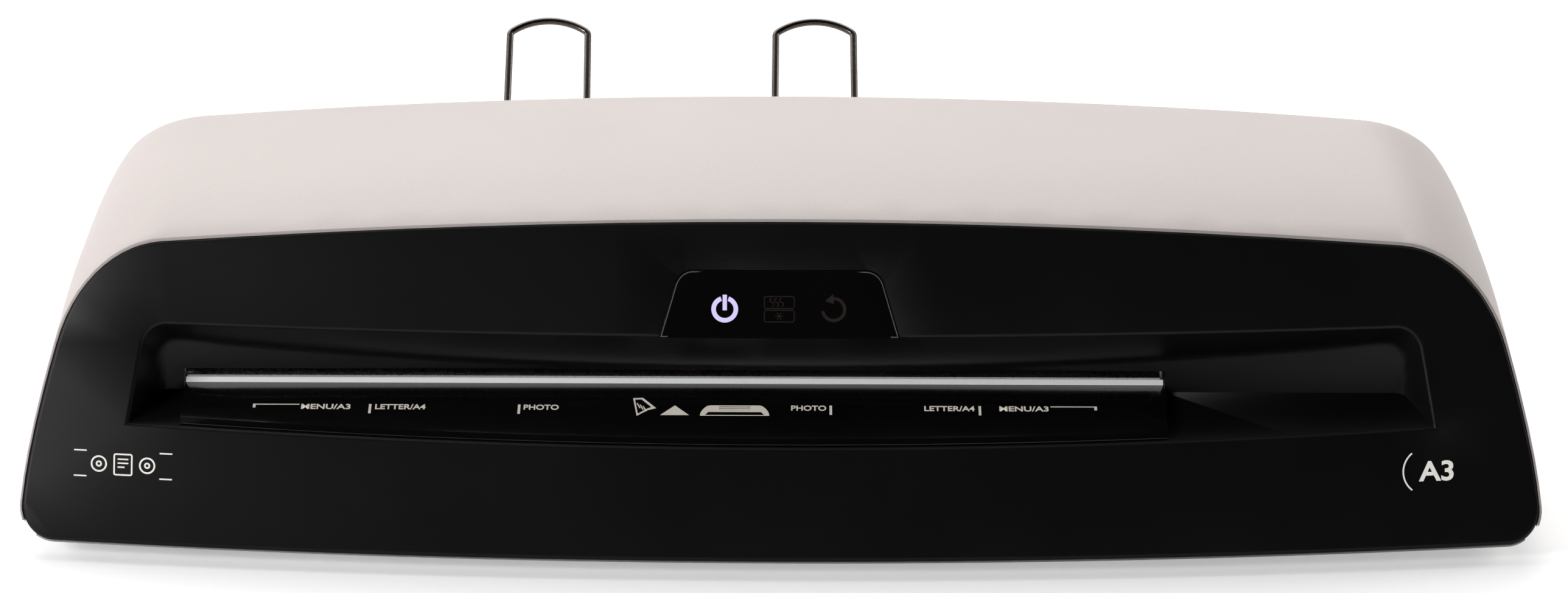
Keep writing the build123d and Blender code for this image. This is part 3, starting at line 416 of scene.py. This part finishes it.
def line(x0, y0, x1, y1, width):
    """A straight stroke as one outline."""
    length = hypot(x1 - x0, y1 - y0)
    dx, dy = (y1 - y0) / length * width / 2, -(x1 - x0) / length * width / 2
    return [(x0 - dx, y0 - dy), (x1 - dx, y1 - dy), (x1 + dx, y1 + dy), (x0 + dx, y0 + dy)]


def arc_band(x, y, radius, width, start, end, steps=48):
    """A stroke along an arc, from start to end degrees."""
    turns = [radians(start + (end - start) * i / steps) for i in range(steps + 1)]
    outer = [(x + (radius + width / 2) * cos(t), y + (radius + width / 2) * sin(t)) for t in turns]
    inner = [(x + (radius - width / 2) * cos(t), y + (radius - width / 2) * sin(t)) for t in turns]
    return outer + inner[::-1]


def rounded_frame(x0, y0, x1, y1, radius, width):
    """The outer and inner outlines of a rounded rectangle drawn with a stroke of this width."""
    both = []
    for inset in (0, width):
        r = max(radius - inset, 0.05)
        ring = []
        for cx, cy, turn in ((x1 - radius, y1 - radius, 0), (x0 + radius, y1 - radius, 90),
                             (x0 + radius, y0 + radius, 180), (x1 - radius, y0 + radius, 270)):
            ring += [(cx + r * cos(radians(turn + 15 * i)), cy + r * sin(radians(turn + 15 * i)))
                     for i in range(7)]
        both.append(ring)
    return both


face_up = (0, sin(radians(25)), cos(radians(25)))
face_front = cad_low.y
page_sign = rounded_frame(-3.4, 0.8, 3.4, 8.6, 0.8, 0.55)
page_sign += [line(-1.9, 6.6, 1.9, 6.6, 0.5), line(-1.9, 5.2, 1.9, 5.2, 0.5), line(-1.9, 3.8, 0.6, 3.8, 0.5)]
for roller_x in (-8.6, 8.6):
    page_sign += [arc_band(roller_x, 4.7, 2.6, 0.6, 0, 360), arc_band(roller_x, 4.7, 0.8, 0.6, 0, 360)]
page_sign += [line(-17.5, 0.2, -13.0, 0.2, 0.5), line(13.0, 0.2, 17.5, 0.2, 0.5), line(-17.5, 9.2, -13.0, 9.2, 0.5),
              line(13.0, 9.2, 17.5, 9.2, 0.5)]
lay_on("pouch_sign", flat_shape(page_sign), "front_fascia", (-0.2315, face_front, 0.0275), face_up, (0, 1, 0),
       ink_white)
size_sign = flat_shape([arc_band(9.5, 4.2, 8.2, 0.55, 128, 232)], [("A3", 13.0, 0.6, 12.4, 7.2)])
lay_on("size_sign", size_sign, "front_fascia", (0.2175, face_front, 0.0275), face_up, (0, 1, 0),
       ink_white)

# ---------------------------------------------------------------- entry tray and slot lip
# The tray is a polished black insert, screen-printed with the sheet widths, a feed arrow and two signs.
# The lip is a white strip along the slot's lower edge, with a painted glow that makes it shine bright in the shaded
# recess.
tray_gloss = finish("tray_gloss", (0.0028, 0.0027, 0.0029), (0.0045, 0.0043, 0.0047), (0.10, 0.17), 1.1,
                    drift=0.5, dust=0.008, ripple_mm=0.01, Coat_Weight=0.15, Coat_Roughness=0.06,
                    Specular_IOR_Level=0.35)
dress("entry_tray", tray_gloss, edge_mm=0.2)
# Painted light: the emission makes the lip glow as though light reached it inside the recess.
lip_white = finish("lip_white", (0.86, 0.86, 0.85), (0.93, 0.93, 0.92), (0.22, 0.34), 0.5, drift=0.5,
                   Emission_Strength=0.3)
lip_white.node_tree.nodes["Principled BSDF"].inputs["Emission Color"].default_value = (0.92, 0.95, 0.94, 1)
dress("slot_lip", lip_white, edge_mm=0.12)

sheet_centre = -37.5
tray_low, tray_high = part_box("entry_tray")
tray_edge = (sheet_centre * mm, tray_high[1], tray_high[2])
path_up = (0, cos(radians(12)), sin(radians(12)))
marks_top, cap_height = -14.6, 3.3
# Cream print ink with a painted glow (emission 0.35), so that the marks read bright in the shaded recess.
tray_ink = print_ink("tray_ink", (0.74, 0.70, 0.62), (0.92, 0.88, 0.80), (0.80, 0.76, 0.66), 0.35)
tray_outlines, tray_words = [], []
for side in (-1, 1):
    tray_outlines += [line(side * 148.5, marks_top, side * 148.5, marks_top - 2.4, 0.95),
                      line(side * 148.0, marks_top - 0.28, side * 132.6, marks_top - 0.28, 0.5),
                      line(side * 107.6, marks_top, side * 107.6, marks_top - 5.9, 0.9),
                      line(side * 55.0, marks_top, side * 55.0, marks_top - 5.9, 0.9)]
    tray_words += [("MENU/A3", side * 123.2, marks_top - cap_height, 17.4, cap_height),
                   ("LETTER/A4", side * 96.9, marks_top - cap_height, 17.8, cap_height),
                   ("PHOTO", side * 47.2, marks_top - cap_height, 12.4, cap_height)]
page = [(-14.9, -10.2), (-11.4, -10.0), (-6.6, -16.6), (-9.6, -17.9), (-13.4, -21.6)]
tray_outlines += [page, [(-14.2, -11.1), (-11.9, -10.9), (-8.3, -15.9), (-10.0, -17.1), (-13.0, -20.2)]]
tray_outlines += [line(-13.4 + 1.1 * i, -13.4 - i, -12.3 + 1.1 * i, -16.6 - i, 0.4) for i in range(3)]
tray_outlines += [[(-5.1, marks_top - 6.4), (5.0, marks_top - 6.4), (0, marks_top - 0.2)]]
lay_on("tray_marks", flat_shape(tray_outlines, tray_words), "entry_tray", tray_edge, path_up, (0, 0, -1), tray_ink)
dome_x, dome_foot, dome_half, dome_tall = 21.1, -21.3, 12.2, 6.6
dome_flat = 1.55             # how early the dome's sides reach its flat top
dome = [(dome_x - dome_half, dome_foot), (dome_x + dome_half, dome_foot)]
dome += [(dome_x + dome_half * cos(radians(7.5 * i)),
          dome_foot + dome_tall * min(1.0, dome_flat * sin(radians(7.5 * i)))) for i in range(1, 24)]
dome_hole = [(10.6, -20.9), (31.6, -20.9), (30.4, -18.9), (11.8, -18.9)]
stack = [line(15.5, -17.6 + 1.0 * i, 26.7, -17.6 + 1.0 * i, 0.22 + 0.12 * i) for i in range(3)]
lay_on("thickness_sign", flat_shape([dome, dome_hole] + stack), "entry_tray", tray_edge, path_up, (0, 0, -1),
       tray_ink)

# ---------------------------------------------------------------- touch window
# A polished acrylic window, tinted almost black, over a touch board. Three symbols shine through it from
# light guides: power, which is lit, heat or cold, and reverse.
window_gloss = finish("window_gloss", (0.0030, 0.0027, 0.0028), (0.0048, 0.0042, 0.0044), (0.03, 0.07), 1.5,
                      drift=0.5, dust=0.004, Coat_Weight=0.4, Coat_Roughness=0.03)
dress("control_window", window_gloss, edge_mm=0.45, segments=3)

window_low, window_high = (Vector(corner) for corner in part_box("control_window"))
symbol_z = sum(corner[2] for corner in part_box("light_guides")) / 2
symbol_start = (0, face_front, symbol_z)
lit = finish("power_light", (0.50, 0.45, 0.70), (0.58, 0.53, 0.78), (0.3, 0.4), 0.6, Emission_Strength=0.85)
lit_shader = lit.node_tree.nodes["Principled BSDF"]
lit_shader.inputs["Emission Color"].default_value = (0.53, 0.47, 0.76, 1)
unlit = finish("unlit_symbol", (0.028, 0.019, 0.017), (0.045, 0.032, 0.028), (0.3, 0.4), 0.6)
power = [arc_band(-19.9, 0, 3.9, 1.6, 109, 431), line(-19.9, -0.4, -19.9, 5.1, 1.5)]
lay_on("power_symbol", flat_shape(power), "control_window", symbol_start, face_up, (0, 1, 0), lit,
       lift_mm=0.02)
heat = rounded_frame(-6.2, 0.15, 4.6, 4.7, 0.8, 0.32) + rounded_frame(-6.2, -4.55, 4.6, -0.15, 0.8, 0.32)
for wave in range(3):
    heat.append(arc_band(-3.4 + 1.7 * wave, 3.2, 0.7, 0.3, 90, 270, 16))
    heat.append(arc_band(-3.4 + 1.7 * wave, 1.8, 0.7, 0.3, -90, 90, 16))
for turn in (0, 60, 120):
    heat.append(line(-0.8 - 1.4 * cos(radians(turn)), -2.35 - 1.4 * sin(radians(turn)),
                     -0.8 + 1.4 * cos(radians(turn)), -2.35 + 1.4 * sin(radians(turn)), 0.26))
lay_on("heat_symbol", flat_shape(heat[:4]), "control_window", symbol_start, face_up, (0, 1, 0), unlit,
       lift_mm=0.02)
lay_on("wave_symbol", flat_shape(heat[4:10]), "control_window", symbol_start, face_up, (0, 1, 0), unlit,
       lift_mm=0.02)
for number, stroke in enumerate(heat[10:]):
    lay_on(f"frost_symbol_{number}", flat_shape([stroke]), "control_window", symbol_start, face_up, (0, 1, 0),
           unlit, lift_mm=0.02 + 0.004 * number)
reverse = [arc_band(18.3, 0, 3.85, 1.1, -172, 98),
           [(18.3 - 3.0, 3.0), (18.3 - 0.2, 5.4), (18.3 + 0.1, 1.9)]]
lay_on("reverse_symbol", flat_shape(reverse[:1]), "control_window", symbol_start, face_up, (0, 1, 0), unlit,
       lift_mm=0.02)
lay_on("reverse_arrow", flat_shape(reverse[1:]), "control_window", symbol_start, face_up, (0, 1, 0), unlit,
       lift_mm=0.024)

# A painted highlight: a thin light grey strip laid round the window stands in for the light caught by its bevelled
# edge.
painted_edge_highlight = finish("painted_edge_highlight", (0.10, 0.095, 0.095), (0.24, 0.23, 0.23), (0.1, 0.2), 0.8, drift=0.5)
window_half, window_middle = (window_high.x - window_low.x) / 2 / mm, (window_high.x + window_low.x) / 2 / mm
window_tall = (window_high.z - window_low.z) / mm
edge_lean, edge_corner = radians(18), 6.5
highlight_rims = []
for inset in (0.25, 0.6):
    corner_x = (window_half - (window_tall - edge_corner) * sin(edge_lean) / cos(edge_lean)
                - edge_corner / cos(edge_lean))
    side = [(corner_x + (edge_corner - inset) * cos(edge_lean + (pi / 2 - edge_lean) * i / 8),
             window_tall - edge_corner + (edge_corner - inset) * sin(edge_lean + (pi / 2 - edge_lean) * i / 8))
            for i in range(9)]
    side.insert(0, (window_half - inset * 1.4, inset))
    highlight_rims.append([(x + window_middle, y / cos(radians(25))) for x, y in side]
                + [(window_middle - x, y / cos(radians(25))) for x, y in side[::-1]])
lay_on("window_edge_highlight", flat_shape(highlight_rims), "control_window", (0, face_front, window_low.z), face_up, (0, 1, 0),
       painted_edge_highlight, lift_mm=0.015)

frosted = finish("frosted_guide", (0.72, 0.72, 0.80), (0.82, 0.82, 0.88), (0.35, 0.5), 0.5, bump_mm=0.01,
                 Subsurface_Weight=0.2)
dress("light_guides", frosted, edge_mm=0.2)

# ---------------------------------------------------------------- wire supports
# Two 2.7 mm steel wires, bent to a loop, black nickel plated, with turned-out feet that pivot in the bezel.
black_nickel = finish("black_nickel", (0.085, 0.072, 0.062), (0.17, 0.15, 0.135), (0.16, 0.30), 0.7, drift=0.4,
                      wear=0.3, worn=(0.30, 0.28, 0.26), bump_mm=0.003, Metallic=1.0)
for name in ("left_wire_support", "right_wire_support"):
    dress(name, black_nickel, crease=60)

# ---------------------------------------------------------------- base pan, feet and case screws
# A light grey textured ABS pan that carries everything, on four black rubber feet, held by four long
# zinc-plated screws from below.
pan_grey = finish("pan_grey", (0.50, 0.50, 0.485), (0.62, 0.62, 0.60), (0.45, 0.62), 0.45, drift=0.3, dust=0.1,
                  wear=0.25, worn=(0.72, 0.72, 0.70), bump_mm=0.02)
dress("base_pan", pan_grey, edge_mm=0.25)
black_rubber = finish("black_rubber", (0.012, 0.012, 0.012), (0.03, 0.03, 0.029), (0.62, 0.85), 0.7, drift=0.4,
                      dust=0.2, bump_mm=0.02)
dress("rubber_feet", black_rubber, edge_mm=0.25)
screw_zinc = finish("screw_zinc", (0.40, 0.41, 0.40), (0.62, 0.62, 0.58), (0.25, 0.42), 0.5, drift=0.5, wear=0.5,
                    worn=(0.8, 0.8, 0.78), bump_mm=0.004, Metallic=1.0)
dress("case_screws", screw_zinc, edge_mm=0.12)

# ---------------------------------------------------------------- exit bezel, cord gland and mains switch
# Textured black plastic: the bezel clips round the exit slot and holds the wires' feet. The rocker is
# glossier and carries the usual line and ring.
bezel_black = finish("bezel_black", (0.010, 0.010, 0.0105), (0.022, 0.022, 0.023), (0.42, 0.58), 0.4, drift=0.3,
                     dust=0.12, wear=0.3, worn=(0.05, 0.05, 0.05), bump_mm=0.015)
dress("exit_bezel", bezel_black, edge_mm=0.2)
dress("cord_gland", black_rubber, edge_mm=0.25)
dress("switch_housing", bezel_black, edge_mm=0.15)
rocker_black = finish("rocker_black", (0.008, 0.008, 0.008), (0.016, 0.016, 0.016), (0.18, 0.28), 0.8, drift=0.5,
                      dust=0.08, wear=0.3, worn=(0.04, 0.04, 0.04), bump_mm=0.004)
dress("switch_rocker", rocker_black, edge_mm=0.15)
rocker_low, rocker_high = (Vector(corner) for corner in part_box("switch_rocker"))
rocker_middle = (rocker_low + rocker_high) / 2
for name, outlines, height in (("rocker_ring", [arc_band(0, 0, 1.3, 0.5, 0, 360)], 4.2),
                               ("rocker_line", [line(-1.5, 0, 1.5, 0, 0.5)], -3.6)):
    mark = lay_on(name, flat_shape(outlines), "switch_rocker",
                  (rocker_middle.x, rocker_high.y, rocker_middle.z + height * mm), (0, 0, 1), (0, -1, 0), ink_white)
    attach(mark, "mains_rocker")

# ---------------------------------------------------------------- frame plates, guides and bars
# Zinc-plated sheet steel, punched and bent, with faint spangle, held by plated screws to ground steel tie bars.
zinc_plate = finish("zinc_plate", (0.40, 0.42, 0.43), (0.60, 0.62, 0.62), (0.26, 0.44), 3.5, drift=0.35, wear=0.6,
                    worn=(0.78, 0.78, 0.76), bump_mm=0.004, Metallic=1.0)
for name in ("left_frame_plate", "right_frame_plate", "motor_bracket"):
    dress(name, zinc_plate, edge_mm=0.15)
rolled_sheet = finish("rolled_sheet", (0.46, 0.47, 0.47), (0.66, 0.67, 0.66), (0.22, 0.36), 1.2, drift=0.3,
                      wear=0.5, worn=(0.8, 0.8, 0.78), bump_mm=0.003, Metallic=1.0)
for name in ("lower_entry_guide", "upper_entry_guide", "exit_guides"):
    dress(name, rolled_sheet, edge_mm=0.12)
ground_steel = finish("ground_steel", (0.50, 0.50, 0.49), (0.68, 0.68, 0.66), (0.14, 0.28), 0.25, drift=0.2,
                      wear=0.4, worn=(0.85, 0.85, 0.83), bump_mm=0.002, Metallic=1.0)
for name in ("tie_bars", "idler_post", "motor_shaft", "motor_pinion"):
    dress(name, ground_steel, edge_mm=0.1)
dress("frame_screws", screw_zinc, edge_mm=0.15)

# ---------------------------------------------------------------- heating shoes
# Extruded aluminium shoes with mottled mica heater plates behind them, and a ceramic-bodied thermostat.
shoe_aluminium = finish("shoe_aluminium", (0.60, 0.61, 0.62), (0.80, 0.81, 0.82), (0.24, 0.40), 0.5, drift=0.3,
                        wear=0.5, worn=(0.9, 0.9, 0.9), bump_mm=0.004, Metallic=1.0)
for name in ("lower_heating_shoe", "upper_heating_shoe", "heat_sink"):
    dress(name, shoe_aluminium, edge_mm=0.15)
mica = finish("mica", (0.30, 0.22, 0.12), (0.58, 0.48, 0.32), (0.25, 0.5), 4.0, drift=0.3, bump_mm=0.03,
              Coat_Weight=0.3, Coat_Roughness=0.3)
dress("mica_heaters", mica)
dress("thermostat", finish("thermostat_ceramic", (0.62, 0.58, 0.50), (0.78, 0.74, 0.66), (0.3, 0.5), 0.8,
                           bump_mm=0.01), edge_mm=0.2)

# ---------------------------------------------------------------- rollers, bushes and springs
# Silicone sleeves, ground and slightly dusty with release powder, on steel shafts in tan bushes. Tension
# springs press each upper bush down.
silicone = finish("silicone_sleeve", (0.30, 0.060, 0.025), (0.46, 0.115, 0.050), (0.55, 0.75), 0.6, drift=0.4,
                  dust=0.1, bump_mm=0.012, Subsurface_Weight=0.05)
bush_tan = finish("bush_tan", (0.24, 0.15, 0.07), (0.36, 0.25, 0.13), (0.30, 0.45), 0.6, bump_mm=0.006)
for pair in ("input", "output"):
    for level in ("lower", "upper"):
        dress(f"{level}_{pair}_roller", silicone, edge_mm=0.3)
        dress(f"{level}_{pair}_shaft", ground_steel, edge_mm=0.15)
    dress(f"{pair}_carrier_bushes", bush_tan, edge_mm=0.15)
    dress(f"{pair}_springs", finish(f"{pair}_spring_steel", (0.30, 0.30, 0.31), (0.50, 0.50, 0.50), (0.2, 0.35),
                                    0.4, bump_mm=0.003, Metallic=1.0), crease=60)
dress("lower_bushes", bush_tan, edge_mm=0.15)

# ---------------------------------------------------------------- gears and motor
# Natural acetal gears, driven by a steel pinion on a plated gear motor.
acetal = finish("acetal", (0.68, 0.66, 0.58), (0.82, 0.80, 0.73), (0.28, 0.42), 1.0, drift=0.4, bump_mm=0.004,
                Subsurface_Weight=0.15)
for name in ("lower_input_gear", "upper_input_gear", "lower_output_gear", "upper_output_gear", "idler_gear",
             "board_posts"):
    dress(name, acetal, edge_mm=0.12)
dress("gear_motor", zinc_plate, edge_mm=0.3)

# ---------------------------------------------------------------- entry sensor
# A black flag on a small black bracket, with the optical fork that it swings out of.
sensor_black = finish("sensor_black", (0.009, 0.009, 0.010), (0.02, 0.02, 0.021), (0.35, 0.5), 0.5, dust=0.1,
                      bump_mm=0.006)
for name in ("sensor_flag", "sensor_bracket", "sensor_fork"):
    dress(name, sensor_black, edge_mm=0.12)

# ---------------------------------------------------------------- electronics
# Green boards with copper tracks under the solder mask. The transformer is wrapped in yellow tape, the
# capacitors have blue sleeves, and small parts sit in rows on the main board.


def board_finish():
    """Solder mask over a faint pattern of tracks."""
    material = finish("solder_mask", (0.010, 0.10, 0.035), (0.016, 0.15, 0.055), (0.18, 0.3), 0.8, drift=0.3,
                      Coat_Weight=0.5, Coat_Roughness=0.1)
    tree = material.node_tree
    shader = tree.nodes["Principled BSDF"]
    plain = shader.inputs["Base Color"].links[0].from_socket
    place = shader_node(tree, "ShaderNodeTexCoord")
    tracks = shader_node(tree, "ShaderNodeTexBrick", Scale=180.0)
    tracks.inputs["Mortar Size"].default_value = 0.12
    tree.links.new(place.outputs["Object"], tracks.inputs["Vector"])
    over = shader_node(tree, "ShaderNodeMix", {"data_type": "RGBA"})
    over.inputs["B"].default_value = (0.03, 0.24, 0.09, 1)
    tree.links.new(tracks.outputs["Fac"], over.inputs["Factor"])
    tree.links.new(plain, over.inputs["A"])
    tree.links.new(over.outputs["Result"], shader.inputs["Base Color"])
    return material


solder_mask = board_finish()
for name in ("main_board", "touch_board"):
    dress(name, solder_mask, edge_mm=0.1)
dress("transformer", finish("transformer_tape", (0.52, 0.36, 0.04), (0.72, 0.54, 0.10), (0.3, 0.5), 1.2,
                            drift=0.4, bump_mm=0.02), edge_mm=0.3)
dress("relay", sensor_black, edge_mm=0.3)
dress("capacitors", finish("capacitor_sleeve", (0.020, 0.055, 0.22), (0.035, 0.085, 0.32), (0.18, 0.3), 0.8,
                           Coat_Weight=0.4, Coat_Roughness=0.1), edge_mm=0.4)
dress("terminal_block", finish("terminal_green", (0.02, 0.19, 0.06), (0.04, 0.28, 0.10), (0.35, 0.5), 0.6,
                               bump_mm=0.006), edge_mm=0.2)

part_row = bpy.data.node_groups.new("board_parts", "GeometryNodeTree")
part_row.is_modifier = True
row_inputs = {}
for label, kind, value in (("Length", "NodeSocketFloat", 0.1), ("Width", "NodeSocketFloat", 0.01),
                           ("Columns", "NodeSocketInt", 12), ("Rows", "NodeSocketInt", 3),
                           ("Body", "NodeSocketMaterial", None), ("Ends", "NodeSocketMaterial", None)):
    made = part_row.interface.new_socket(name=label, in_out="INPUT", socket_type=kind)
    if value is not None:
        made.default_value = value
    row_inputs[label] = made.identifier
part_row.interface.new_socket(name="Geometry", in_out="OUTPUT", socket_type="NodeSocketGeometry")
given, result = part_row.nodes.new("NodeGroupInput"), part_row.nodes.new("NodeGroupOutput")
grid = part_row.nodes.new("GeometryNodeMeshGrid")
for label, socket in (("Length", "Size X"), ("Width", "Size Y"), ("Columns", "Vertices X"), ("Rows", "Vertices Y")):
    part_row.links.new(given.outputs[label], grid.inputs[socket])
chip = part_row.nodes.new("GeometryNodeJoinGeometry")
for size, shift, label in (((0.0016, 0.0014, 0.0006), 0.0, "Body"), ((0.0005, 0.0015, 0.0007), -0.00095, "Ends"),
                           ((0.0005, 0.0015, 0.0007), 0.00095, "Ends")):
    block = part_row.nodes.new("GeometryNodeMeshCube")
    block.inputs["Size"].default_value = size
    moved = part_row.nodes.new("GeometryNodeTransform")
    moved.inputs["Translation"].default_value = (shift, 0, size[2] / 2)
    coated = part_row.nodes.new("GeometryNodeSetMaterial")
    part_row.links.new(block.outputs["Mesh"], moved.inputs["Geometry"])
    part_row.links.new(moved.outputs["Geometry"], coated.inputs["Geometry"])
    part_row.links.new(given.outputs[label], coated.inputs["Material"])
    part_row.links.new(coated.outputs["Geometry"], chip.inputs["Geometry"])
placed = part_row.nodes.new("GeometryNodeInstanceOnPoints")
spread = part_row.nodes.new("FunctionNodeRandomValue")
spread.data_type = "FLOAT_VECTOR"
spread.inputs["Min"].default_value = (0.8, 0.8, 0.8)
spread.inputs["Max"].default_value = (1.6, 1.3, 1.8)
spread.inputs["Seed"].default_value = 7
part_row.links.new(grid.outputs["Mesh"], placed.inputs["Points"])
part_row.links.new(chip.outputs["Geometry"], placed.inputs["Instance"])
part_row.links.new(spread.outputs["Value"], placed.inputs["Scale"])
real = part_row.nodes.new("GeometryNodeRealizeInstances")
part_row.links.new(placed.outputs["Instances"], real.inputs["Geometry"])
part_row.links.new(real.outputs["Geometry"], result.inputs["Geometry"])

board_low, board_high = (Vector(corner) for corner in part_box("main_board"))
seed_object = bpy.data.objects.new("board_parts_seed", bpy.data.meshes.new("board_parts_seed"))
bpy.context.scene.collection.objects.link(seed_object)
grown = seed_object.modifiers.new("rows", "NODES")
grown.node_group = part_row
tinned = finish("tinned_end", (0.55, 0.55, 0.54), (0.72, 0.72, 0.70), (0.25, 0.4), 0.3, Metallic=1.0)
for label, value in (("Length", 0.060), ("Width", 0.010), ("Columns", 14), ("Rows", 4), ("Body", sensor_black),
                     ("Ends", tinned)):
    grown[row_inputs[label]] = value
bpy.context.view_layer.update()
parts_mesh = bpy.data.meshes.new_from_object(
    seed_object.evaluated_get(bpy.context.evaluated_depsgraph_get()))
bpy.data.objects.remove(seed_object)
board_middle = (board_low + board_high) / 2
parts_mesh.transform(Matrix.Translation((board_middle.x - 0.012, board_low.y + 0.009, board_high.z + 0.00002)))
board_parts = bpy.data.objects.new("board_parts", parts_mesh)
bpy.context.scene.collection.objects.link(board_parts)
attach(board_parts, "housing")
